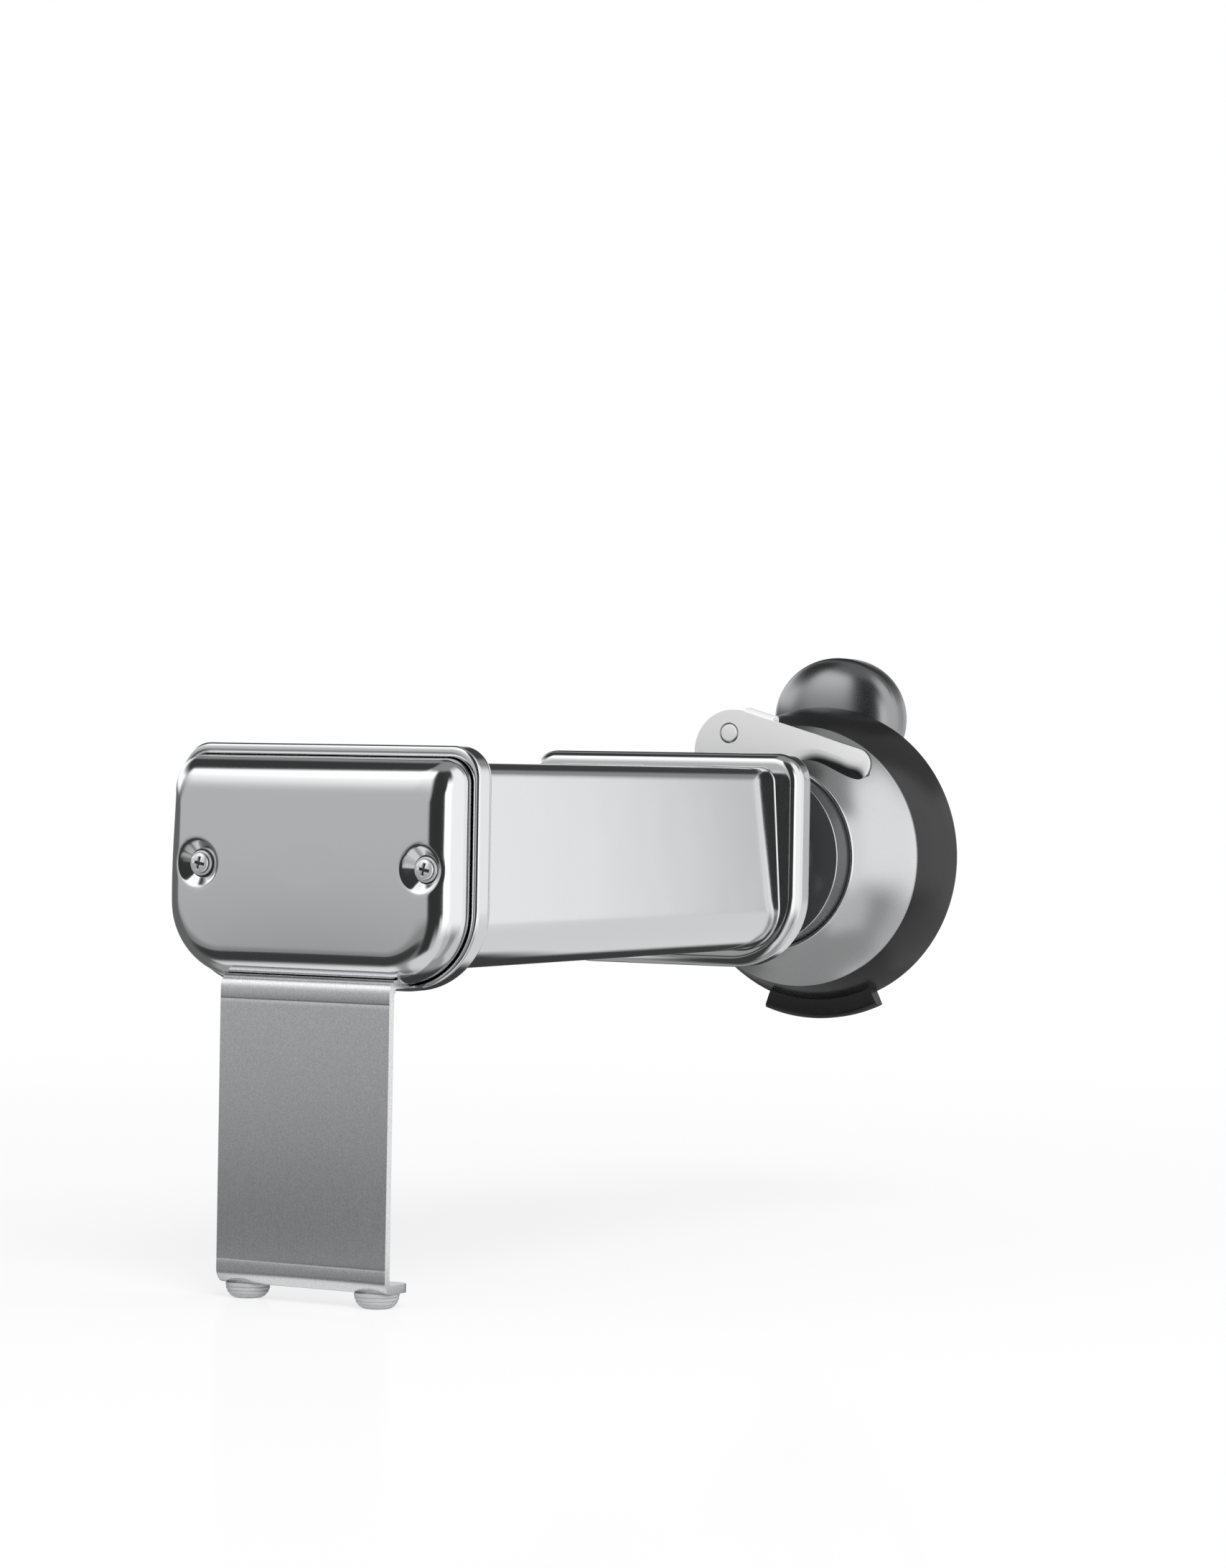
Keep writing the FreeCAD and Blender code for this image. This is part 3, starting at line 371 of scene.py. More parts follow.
# Rings round the trays' outline
def ring(inset, drop=0.0, radii=None, across=48, bend=22):
    """Outline of the side trays, moved in at the front, back, bottom and top and then down by drop: four
    corner arcs joined by four runs. Every ring has the same number of points, so that rings of different
    size join point to point. The upright runs have most points in their lower two thirds, at the screws."""
    front, back, bottom, top = np.broadcast_to(inset, 4)
    y0, y1, z0, z1 = y_front + front, y_back - back, z_bot + bottom - drop, z_top - top - drop
    if radii is None:
        radii = [max(r - front, 0.05) for r in (r_bot, r_bot, r_top, r_top)]
    corners = [(y0, z0, 1, 1, 180), (y1, z0, -1, 1, 270), (y1, z1, -1, -1, 0), (y0, z1, 1, -1, 90)]
    arcs = []
    for (y, z, sy, sz, a), r in zip(corners, radii):
        t = np.radians(a + 90 * np.linspace(0, 1, bend))
        arcs.append(np.stack([y + sy * r + r * np.cos(t), z + sz * r + r * np.sin(t)], 1))
    upright = np.concatenate([np.linspace(0, 0.66, 84), np.linspace(0.69, 1, 14)])
    shares = [np.linspace(0, 1, across), upright, np.linspace(0, 1, across), 1 - upright[::-1]]
    parts = []
    for k, share in enumerate(shares):
        t = share[1:-1, None]
        parts += [arcs[k], arcs[k][-1] * (1 - t) + arcs[(k + 1) % 4][0] * t]
    return np.concatenate(parts)


def at_x(x, yz):
    """Ring of points (y, z) placed in the plane at x."""
    return np.concatenate([np.broadcast_to(np.asarray(x, float), (len(yz),))[:, None], yz], 1)


def spine(yz, half):
    """Nearest place of each ring point on a short line through the middle, where a flat face closes."""
    return np.stack([np.clip(yz[:, 0], mid_y - half, mid_y + half), np.full(len(yz), mid_z)], 1)


# Gap between the left tray's outline and its cover: front, back, bottom and top
cover_gap, cover_drop, cover_radii = (2.2, 1.2, 2.2, 2.2), 0.6, (16.3, 16.8, 5.6, 5.8)


def tray(name, x_flat, way, hem):
    """Drawn tray: base, bend, wall, an edge rolled inwards along half an ellipse as far as the ring hem,
    and back again. The base lies a little proud, over the ends of the posts that are riveted into it."""
    proud, roll, core, core_half = 0.04, 0.8, 6.0, 24.0
    outer = ring(0.0)
    q = np.radians(np.linspace(0, 90, 13))
    bead = np.radians(np.linspace(-90, 90, 17))
    share = np.linspace(1, 0, 7)[:, None, None]
    base = ring(tray_bend * 2) * (1 - share) + spine(ring(core, radii=(core,) * 4), core_half) * share
    rows = [(b, -proud) for b in base]
    rows += [(ring(tray_bend - tray_bend * s), tray_bend - (tray_bend + proud) * c)
             for s, c in zip(np.sin(q), np.cos(q))]
    rows += [(outer, a) for a in np.linspace(tray_bend + 0.2, tray_depth - roll - 0.2, 5)]
    for b in bead:
        w = (1 + math.sin(b)) / 2
        rows.append((outer * (1 - w) + hem * w, tray_depth - roll + roll * math.cos(b)))
    rows += [(hem, tray_depth - 2.0), (ring(tray_t + 0.05), tray_depth - 2.3)]
    rows += [(ring(tray_t), tray_depth - 2.5)]
    inner_bend = tray_bend - tray_t
    rows += [(ring(tray_bend - inner_bend * s), tray_bend - inner_bend * c)
             for s, c in zip(np.sin(q)[::-1], np.cos(q)[::-1])]
    rows += [(b, tray_t) for b in base[::-1]]
    grid = np.array([at_x(x_flat + way * a, yz) for yz, a in rows])
    piece(name, [lattice(grid, wrap_cols=True)], replaces=name)


tray("tray_left", x_in_l, -1, ring(np.subtract(cover_gap, 0.22), cover_drop, np.add(cover_radii, 0.22)))
tray("tray_right", x_in_r, 1, ring(1.1))


# Cover of the left tray
def cover():
    """Drawn cup: from the side wall a soft edge leads to a slightly crowned face, which sinks to a flat
    seat round each screw. The edge falls as one minus the root of one minus s to the power 2.4, s being the
    share of its width. A seat's bowl is an arc and a cone; edge and bowl blend as the cube root of the sum
    of their cubes. The leg's notch is left open, with a bead along its upper edge."""
    soft, crown, seat_deep, x_end = (9.6, 4.5, 7.6, 9.6), 0.55, 2.5, x_in_l - 3.3
    bowl_r, brim_r, tilt, lip_r = 6.7, 2.8, math.radians(34.5), 0.32
    crown_y, crown_z, crown_share, fall_power = 37.0, 25.6, 0.8, 2.4
    rise, least_deep, most_deep, core, core_r, core_half = 0.86, 3.9, 7.4, 12.0, 5, 20.0
    outer = ring(cover_gap, cover_drop, cover_radii)
    inner = ring(np.add(cover_gap, soft), cover_drop, (7.7, 10.5, 3.5, 2.5))
    deep = np.clip(rise * np.linalg.norm(outer - inner, axis=1), least_deep, most_deep)
    notch_at = 1 - (z_flange + 0.3 - outer[:, 1].min()) / soft[2]
    turn = np.sin(np.radians(np.linspace(0, 90, 46)))
    turn = np.sort(np.append(turn[np.abs(turn - notch_at) > 0.008], notch_at))
    share = np.concatenate([np.linspace(1, 0.9, 3), np.linspace(0.85, 0.015, 34)])[:, None, None]
    middle = spine(ring(core, cover_drop, (core_r,) * 4), core_half)
    yz = np.concatenate([inner * (1 - share) + middle * share,
                         inner + (outer - inner) * turn[:, None, None]])
    fall = np.concatenate([np.zeros(len(share)), 1 - np.sqrt(1 - turn ** fall_power)])
    round_y = 1 - np.clip(((yz[..., 0] - mid_y) / crown_y) ** 2, 0, 1) * crown_share
    round_z = 1 - np.clip(((yz[..., 1] - mid_z) / crown_z) ** 2, 0, 1) * crown_share
    sunk = fall[:, None] * deep + crown * (1 - round_y * round_z)
    for y, z in posts:
        far = np.hypot(yz[..., 0] - y, yz[..., 1] - z)
        brim = brim_r - np.sqrt(brim_r ** 2 - np.clip(bowl_r - far, 0, brim_r * math.sin(tilt)) ** 2)
        wall = brim + np.clip(bowl_r - brim_r * math.sin(tilt) - far, 0, None) * math.tan(tilt)
        sunk = np.cbrt(sunk ** 3 + np.minimum(wall, seat_deep) ** 3)
    sunk = np.maximum(sunk, 0.02)
    skin = np.concatenate([(x_face + sunk)[..., None], yz], -1)
    down = np.linspace(0, 1, 6)[1:, None]
    wall = np.array([at_x(skin[-1, :, 0] * (1 - d) + x_end * d, outer) for d in down])
    skin = np.concatenate([skin, wall])
    cut = len(share) + int(np.searchsorted(turn, notch_at))
    notch = (np.abs(outer[:, 0] - mid_y) < leg_w / 2 + 0.9) & (outer[:, 1] < mid_z)
    gone = (np.arange(len(skin) - 1)[:, None] >= cut) & notch & np.roll(notch, -1)
    path = skin[cut][np.flatnonzero(notch)]
    t = np.linspace(0, 2 * math.pi, 12, endpoint=False)
    bead = path[:, None] + lip_r * np.stack([0.6 + np.cos(t), 0 * t, 0.6 + np.sin(t)], -1)
    piece("cover_left", [lattice(skin, wrap_cols=True, keep=~gone)], replaces="cover_left", wall=0.95)
    piece("notch_lip", [lattice(bead, wrap_cols=True, caps=True)], like="cover_left")


cover()


# Shells round the cutters
def shell(name, side, room):
    """Bent sheet along the cutters: lip into the feed, top, leaning face, bottom bend and exit edge. At
    each end a quarter circle turns its edge outwards against the tray."""
    lean, t, lip, rolls_y = math.tan(math.radians(3.5)), 0.8, 0.5, 12.5
    up, down, face = 22.8, -22.9, 26.5 + room + t / 2
    feed, feed_z, mouth, way_out = 7.5, 15.5, 9.5, 11.5
    path = [(feed, feed_z), (mouth, up), (face - up * lean, up), (face - down * lean, down),
            (way_out, down)]
    section, across = sheet_section(path, [0, 2.0, 3.5, 10.6, 0], t, 20)
    near = lip * (1 - np.cos(np.radians(np.linspace(0, 90, 9))))
    between = np.linspace(x_in_l + lip, x_in_r - lip, 24)[1:-1]
    x = np.concatenate([x_in_l + near, between, x_in_r - near[::-1]])
    close = np.clip(lip - np.minimum(x - x_in_l, x_in_r - x), 0, lip)
    grow = (lip - np.sqrt(lip ** 2 - close ** 2))[:, None, None]
    uv = section + across * grow
    rows = np.stack([np.repeat(x[:, None], len(section), 1), rolls_y + side * uv[..., 0], uv[..., 1]], -1)
    piece(name, [sheet(rows)], replaces=name)


shell("shell_front", -1, 1.77)
shell("shell_rear", 1, 10.8)


# Leg and bumpers
def leg():
    """Strip bent to a C: flange, bend, face, bend and toe. A fine brake line, a V in the outer side, lies
    beside each bend, and the half width follows a quarter circle at the toe's corners."""
    t, foot, corner, line_in, line_half, line_deep, steps = 2.0, 10.6, 2.0, 5.6, 0.35, 0.05, 14
    bend_1, bend_2 = steps + 1, 2 * steps + 2
    path = [(x_in_l - tray_bend, z_flange - t / 2), (x_leg + t / 2, z_flange - t / 2),
            (x_leg + t / 2, z_leg_bot + t / 2), (x_leg + foot, z_leg_bot + t / 2)]
    line = rounded(path, [0, 2.2, 2.2, 0], steps)
    lines = np.array([z_flange - line_in, z_leg_bot + line_in])
    marks = (lines[:, None] + line_half * np.array([-1, -0.5, 0, 0.5, 1])).ravel()
    plain = np.linspace(line[bend_1, 1], line[bend_1 + 1, 1], 20)[1:-1]
    run = np.sort(np.concatenate([marks, plain]))[::-1]
    face = np.stack([np.full(len(run), line[bend_1, 0]), run], 1)
    share = np.sin(np.radians(np.linspace(0, 90, 26)))[1:, None]
    toe = line[bend_2] + (line[bend_2 + 1] - line[bend_2]) * share
    line = np.concatenate([line[:bend_1 + 1], face, line[bend_1 + 1:bend_2 + 1], toe])
    d = np.gradient(line, axis=0)
    side = np.stack([d[:, 1], -d[:, 0]], 1) / np.linalg.norm(d, axis=1, keepdims=True)
    dip = line_deep * np.clip(1 - np.abs(line[:, 1:] - lines).min(1, keepdims=True) / line_half, 0, 1)
    section = np.concatenate([line + side * (t / 2 - dip), (line - side * t / 2)[::-1]])
    past = np.clip(section[:, 0] - (x_leg + foot - corner), 0, corner) * (section[:, 1] < z_leg_bot + t + 1)
    half = leg_w / 2 - (corner - np.sqrt(corner ** 2 - past ** 2))
    rows = [np.stack([section[:, 0], mid_y + s * half, section[:, 1]], 1) for s in (-1, 1)]
    piece("leg", [sheet(np.array(rows))], replaces="leg", bevel=0.3)


leg()


def bumpers():
    """Ribbed bowl turned about an upright axis: its radius falls along a round curve from top to bottom and
    swells at four ribs, each half a wave of a sine."""
    least_r, fall, swell, ribs, apart = 3.0, 1.9, 0.2, 4, 16.95
    u = np.linspace(0, 1, 61)
    r = least_r + fall * (1 - u ** 2.2) ** 0.7
    r += swell * np.sqrt(np.abs(np.sin(ribs * math.pi * u))) * (1 - u ** 8)
    z = z_leg_bot + (floor_z - z_leg_bot) * u
    profile = np.concatenate([[(z_leg_bot, 0.0)], np.stack([z, r], 1), [(floor_z, 0.0)]])
    spots = [(x_leg + 5.3, mid_y + side * apart) for side in (-1, 1)]
    piece("foot_bumpers", [lattice(lathe(profile, segments=96, upright=s), wrap_cols=True) for s in spots],
          replaces="foot_bumpers", sharp=50)


bumpers()


# Hub, bell, collar and dome of the adapter; all but the dome are turned about the drive axis
def edge_bead(name, x, r, thick):
    """Polished bead on an edge: a small circle carried round the drive axis at x and radius r."""
    t = np.linspace(0, 2 * math.pi, 16, endpoint=False)
    bead = lathe(np.stack([x + thick * np.cos(t), r + thick * np.sin(t)], 1), segments=288)
    piece(name, [lattice(bead, wrap_rows=True, wrap_cols=True)], like="tray_right")


def hub():
    """Flanged neck that flares into a disc with a rounded rim and a skirt. A flat slot is let into the
    skirt's top, and the rim's corner is a polished bead."""
    rim, inner, bore, flange_r, neck_r = 23.4, 20.4, 8.28, 17.08, 11.08
    x_plate, x_neck, x_end, flare, web = -68.3, -65.3, -34.2, 5.0, 6.0
    slot_from, slot_to, slot_y, slot_half, slot_z, step = -52.2, -49.4, -1.0, 6.8, 21.4, 0.01
    bead_r, bead_in = 0.24, 0.22
    corners = [(x_plate, bore), (x_plate, flange_r), (x_neck, flange_r), (x_neck, neck_r),
               (x_hub - flare, neck_r), (x_hub, neck_r + flare), (x_hub, rim), (slot_from - step, rim),
               (slot_from, rim), (slot_to, rim), (slot_to + step, rim), (x_end, rim), (x_end, inner),
               (x_hub + web, inner), (x_hub + web, bore)]
    radii = [0, 0.5, 0.5, 1.0, 3.0, 2.0, 0.6, 0, 0, 0, 0, 0.3, 0.3, 1.0, 0]
    grid = lathe(rounded(corners, radii, 10, closed=True), segments=288)
    slot = (grid[..., 0] > slot_from - step / 2) & (grid[..., 0] < slot_to + step / 2)
    slot &= np.abs(grid[..., 1] - slot_y) < slot_half
    grid[..., 2] = np.where(slot, np.minimum(grid[..., 2], slot_z), grid[..., 2])
    piece("hub", [lattice(grid, wrap_rows=True, wrap_cols=True)], replaces="hub")
    edge_bead("hub_edge", x_hub + bead_in, rim - bead_r, bead_r)


hub()


def bell():
    """Mouth ring with a polished bead, a flare on one arc, a narrow rim, and the web with its bearing boss;
    an ear holds the lever's pin."""
    mouth_r, lip_r, edge_r, rim_r, boss_r, bore, ear_r = 23.5, 24.45, 34.3, 34.5, 12.0, 8.55, 4.05
    x_ear, x_boss, x_web, x_boss_end = -49.8, -41.2, -32.8, -25.0
    bead_r, bead_in, bead_at = 0.62, 0.55, 23.98
    flare = through((x_mouth + 0.75, 24.5), (x_mouth + 10.4, 28.65), (x_edge - 1.2, edge_r), 48)
    mouth = rounded([(x_mouth + 2, mouth_r), (x_mouth, mouth_r), (x_mouth, lip_r), (x_mouth + 2, lip_r)],
                    [0, 0.3, 0.65, 0], 8)[:-1]
    rim = rounded([(x_edge - 1.2, edge_r), (x_edge - 1.0, rim_r), (x_edge, rim_r), (x_edge, 30)],
                  [0, 0.2, 0.2, 0], 4)
    back = [(x_edge, boss_r), (x_boss_end, boss_r), (x_boss_end, bore), (x_boss, bore), (x_boss, boss_r),
            (x_web, boss_r), (x_web, mouth_r)]
    profile = np.concatenate([mouth, flare, rim[1:-1], back])
    ear = rounded([(x_ear, pin_r), (x_ear, ear_r), (x_edge, ear_r), (x_edge, 0.0)], [0, 0.5, 0, 0], 6)
    piece("bell", [lattice(lathe(profile, segments=288), wrap_rows=True, wrap_cols=True),
                   lattice(lathe(ear, pivot_y, pivot_z, 64), wrap_cols=True)], replaces="bell")
    edge_bead("bell_edge", x_mouth + bead_in, bead_at, bead_r)


bell()


def collar():
    """Flared skirt, body and spigot in one turned profile, and a sector of a thick ring for the lower
    tongue."""
    bore, hollow_r, spigot_r, body_r, skirt_r = 13.0, 23.0, 26.0, 30.0, 39.8
    x_web, x_seat, x_end, chamfer = -24.5, 0.0, 14.0, 1.0
    x_tongue, tongue_in, tongue_out, aside, half = -18.0, 31.0, 43.6, 3.2, 22.3
    skirt = through((x_edge + 0.3, 34.1), (-21.0, 37.4), (x_back - 0.6, skirt_r - 0.15), 32)
    front = rounded([(x_edge, bore), (x_edge, 34.0), (x_edge + 0.6, 34.3)], [0, 0.2, 0], 4)[:-1]
    lip = rounded([(x_back - 0.6, skirt_r - 0.15), (x_back, skirt_r), (x_back, body_r), (x_seat, body_r),
                   (x_seat, spigot_r), (x_end - chamfer, spigot_r), (x_end, spigot_r - chamfer),
                   (x_end, hollow_r), (x_web, hollow_r), (x_web, bore)],
                  [0, 0.35, 0.6, 0.5, 0.4, 0.2, 0.2, 0.3, 0.5, 0], 6)
    profile = np.concatenate([front, skirt, lip[1:]])
    section = rounded([(x_tongue, tongue_in), (x_tongue, tongue_out), (x_back, tongue_out),
                       (x_back, tongue_in)], [0.3, 1.4, 0.6, 0.3], 8, True)
    t = np.radians(np.linspace(aside - half, aside + half, 41))[:, None]
    r = section[None, :, 1]
    tongue = np.stack([np.repeat(section[None, :, 0], len(t), 0), -r * np.sin(t), -r * np.cos(t)], -1)
    piece("collar", [lattice(lathe(profile, segments=288), wrap_rows=True, wrap_cols=True),
                     lattice(tongue, wrap_cols=True, caps=True)], replaces="collar")


collar()


def dome():
    """Half an ellipsoid in front of a short straight plug; what would lie inside the body stops at its
    skin."""
    x_mid, deep, half_y, half_z, z_mid, body_r = -5.5, 8.2, 18.2, 16.5, 36.7, 30.0
    turn = np.radians(np.linspace(0, 90, 40))
    x = np.concatenate([x_mid - deep * np.cos(turn), [-3.0, -0.35, -0.1, 0.0, 0.0]])[:, None]
    grow = np.concatenate([np.sin(turn), [1.0, 1.0, 0.995, 0.985, 0.0]])[:, None]
    t = np.linspace(0, 2 * math.pi, 160, endpoint=False)
    y, z = half_y * grow * np.cos(t), z_mid + half_z * grow * np.sin(t)
    z = np.maximum(z, np.sqrt(body_r ** 2 - y ** 2) - 0.3)
    grid = np.stack([np.repeat(x, len(t), 1), y, z], -1)
    piece("dome", [lattice(grid, wrap_cols=True)], replaces="dome")


dome()


# Locking lever and its pin
def lever():
    """Plate between a lower and an upper edge, both functions of y: round tip, tapered arm and round lobe.
    It is split along a middle line that opens to the pin's hole; the tip's lower edge is pressed back in a
    hollow. The tab, a channel, folds back from the upper edge, and a key reaches down into the hub's
    slot."""
    tip, lobe, tip_r, lobe_r = np.array([-26.9, 24.6]), np.array([8.6, 27.3]), 4.0, 11.0
    tip_end, neck, heel, lobe_end, lobe_low = -30.9, -12.9, 15.0, 19.6, 19.43
    arm_low, arm_rise, arm_run, heel_run, hole = 20.6, 4.8, 14.0, 4.6, pin_r + 0.48
    press_deep, press_from, press_run, press_tip, press_in = 2.6, -9, 13, -30.3, 4.5
    tab_back, tab_long = 0.3, 8.4
    angle = math.radians(104.83)
    top = lobe + lobe_r * np.array([math.cos(angle), math.sin(angle)])
    arm = tip + (0, tip_r) - top
    tip_top = tip + tip_r * np.array([arm[1], -arm[0]]) / np.linalg.norm(arm)
    ease = 1 - np.cos(np.linspace(0, math.pi / 2, 28))
    y = np.concatenate([tip_end + tip_r * ease, np.linspace(tip[0], neck, 57)[1:],
                        np.linspace(neck, top[0], 20)[1:], np.linspace(top[0], pivot_y - hole, 5)[1:-1],
                        pivot_y - hole * np.cos(np.linspace(0, math.pi, 41)),
                        np.linspace(pivot_y + hole, heel, 8)[1:], lobe_end - heel_run * ease[::-1][1:]])
    tip_round = np.sqrt(np.clip(tip_r ** 2 - (y - tip[0]) ** 2, 0, None))
    lobe_round = np.sqrt(np.clip(lobe_r ** 2 - (y - lobe[0]) ** 2, 0, None))
    high = np.where(y < tip_top[0], tip[1] + tip_round,
                    top[1] + (y - top[0]) * (tip_top[1] - top[1]) / (tip_top[0] - top[0]))
    high = np.where(y > top[0], lobe[1] + lobe_round, high)
    s = np.clip((y - tip[0]) / arm_run, 0, 1)
    low = np.where(y < tip[0], tip[1] - tip_round, arm_low + arm_rise * s * s * (3 - 2 * s))
    low = np.where(y > lobe_low, lobe[1] - lobe_round, low)
    middle = np.minimum(pivot_z, low + 0.6 * (high - low))
    gap = np.sqrt(np.clip(hole ** 2 - (y - pivot_y) ** 2, 0, None))
    shells = []
    for a, b, cols in ((low, middle - gap, 26), (middle + gap, high, 16)):
        z = a[:, None] + (b - a)[:, None] * np.linspace(0, 1, cols)
        yy = np.repeat(y[:, None], cols, 1)
        left = np.clip((press_from - yy) / press_run, 0, 1)
        right = np.clip((yy - press_tip) / press_in, 0, 1)
        near = np.clip(1 - (z - low[:, None]) / (2.2 + 2.6 * left), 0, 1)
        press = press_deep * near ** 1.7 * left * right * right * (3 - 2 * right)
        shells.append(lattice(np.stack([x_front + press, yy, z], -1)))
    piece("lever", shells, body="lock_lever", replaces="lever", wall=lever_t, bevel=0.25)
    fold = sheet_section([(0.0, -3.2), (0.0, 0.4), (3.9, 0.4), (3.9, -1.6)], [0, 1.3, 1.1, 0], 1.3, 12)[0]
    edge = (tip_top - top) / np.linalg.norm(tip_top - top)
    up = np.array([edge[1], -edge[0]])
    x_tab = x_front + lever_t / 2 + tab_back
    rows = [np.concatenate([x_tab + fold[:, :1], top + edge * a + fold[:, 1:] * up], 1)
            for a in (0.0, tab_long)]
    corners = [(0.05, 22.0), (0.05, 26.0), (1.55, 26.0), (1.55, 22.0)]
    key = np.array([[(x_front + a, y, z) for a, z in corners] for y in (-6.0, 4.0)])
    piece("lever_tab", [sheet(np.array(rows)), lattice(key, wrap_cols=True, caps=True)], body="lock_lever",
          bevel=0.25, like="lever")


def lever_pin():
    """Turned pin with rounded ends."""
    x0, x1 = least["lever_pin"][0], most["lever_pin"][0]
    profile = rounded([(x0, 0), (x0, pin_r), (x1, pin_r), (x1, 0)], [0, 0.3, 0.3, 0], 5)
    pin = lathe(profile, pivot_y, pivot_z, 64)
    piece("lever_pin", [lattice(pin, wrap_cols=True)], replaces="lever_pin")


lever()
lever_pin()


# Screws and washers in the cover's dimples
def cover_screws():
    """Pan head as a surface of radius and angle: a low crown with a cross sunk into it, then rim and shank.
    The washer under it is a flat ring."""
    head_r, crown_r, head_h, shank_r, turned = 2.4, 2.2, 1.25, 1.5, math.radians(12)
    cross_half, cross_wall, cross_r, cross_end, cross_deep = 0.40, 0.10, 1.6, 0.5, 0.85
    t = np.linspace(0, 2 * math.pi, 240, endpoint=False)
    r = np.concatenate([np.linspace(0, 1.8, 60), np.linspace(1.85, crown_r, 6)])[:, None]
    u, v = r * np.cos(t), r * np.sin(t)
    a, b = np.abs(r * np.cos(t - turned)), np.abs(r * np.sin(t - turned))
    slot = np.clip((cross_half - np.minimum(a, b)) / cross_wall, 0, 1)
    slot *= np.clip((cross_r - np.maximum(a, b)) / cross_end, 0, 1)
    crown = head_h - 0.5 * (r / crown_r) ** 2 - cross_deep * slot
    side = rounded([(0.75, crown_r), (0.5, head_r), (0.0, head_r), (0.0, shank_r), (-8.0, shank_r),
                    (-8.0, 0.0)], [0, 0.2, 0.15, 0, 0.2, 0], 4)
    x_seat = least["cover_washers"][0]
    shells = []
    for y, z in posts:
        head = np.stack([x_seat - crown, y + u, z + v], -1)
        rest = lathe(np.stack([x_seat - side[:, 0], side[:, 1]], 1), y, z, len(t))
        shells.append(lattice(np.concatenate([head, rest]), wrap_cols=True))
    piece("cover_screws", shells, replaces="cover_screws", sharp=28)
    x_under, bore, edge = x_seat + 0.5, 1.65, 2.85
    flat = rounded([(x_seat, bore), (x_seat, edge), (x_under, edge), (x_under, bore)], [0, 0.15, 0.1, 0], 3,
                   closed=True)
    washers = [lattice(lathe(flat, y, z, 72), wrap_rows=True, wrap_cols=True) for y, z in posts]
    piece("cover_washers", washers, replaces="cover_washers")


cover_screws()


# Cutters
def cutter(name, body, y, odd):
    """Turned roll: journals, then discs and grooves in turn; the discs of one stand in the grooves of the
    other. The driven one ends in a hexagon."""
    journal, groove, core, disc, hexagon = 5.0, 4.0, 10.0, 14.0, 4.6188
    x_start, x_ring, x_core, x_disc = -235.8, -232.8, -226.0, -224.8
    x_last, x_end, x_tang = -79.6, -70.2, -53.0
    strands, pitch, play, wide, broken = 16, 9, 0.15, 8.7, 0.12
    profile = [(x_start, 0.0), (x_start, journal), (x_ring, journal), (x_ring, groove),
               (x_ring + 1, groove), (x_ring + 1, journal), (x_core, journal), (x_core, core)]
    for n in range(odd, strands, 2):
        a = x_disc + pitch * n + play
        profile += [(a, core), (a, disc), (a + wide, disc), (a + wide, core)]
    profile += [(x_last, core), (x_last, journal), (x_end, journal), (x_end, 0.0)]
    radii = [0] + [broken if p[1] >= disc else 0 for p in profile[1:-1]] + [0]
    shells = [lattice(lathe(rounded(profile, radii, 2), y, 0, 160), wrap_cols=True)]
    if odd == 0:
        tang = lathe([(x_end, hexagon), (x_tang, hexagon)], y, 0, 6)
        shells.append(lattice(tang, wrap_cols=True, caps=True))
    piece(name, shells, body=body, replaces=name, sharp=30)


cutter("cutter_front", "driven_roll", 0.0, 0)
cutter("cutter_rear", "rear_roll", 25.0, 1)


# Floor, surround and light, in metres
def staged(name, points, faces, material):
    """Stage object from points and faces, with an empty material of its own; returns it and the material's
    tree."""
    mesh = bpy.data.meshes.new(name)
    mesh.from_pydata(points, [], faces)
    made = bpy.data.objects.new(name, mesh)
    bpy.context.scene.collection.objects.link(made)
    skin = bpy.data.materials.new(material)
    skin.use_nodes = True
    skin.node_tree.nodes.clear()
    mesh.materials.append(skin)
    return made, skin.node_tree


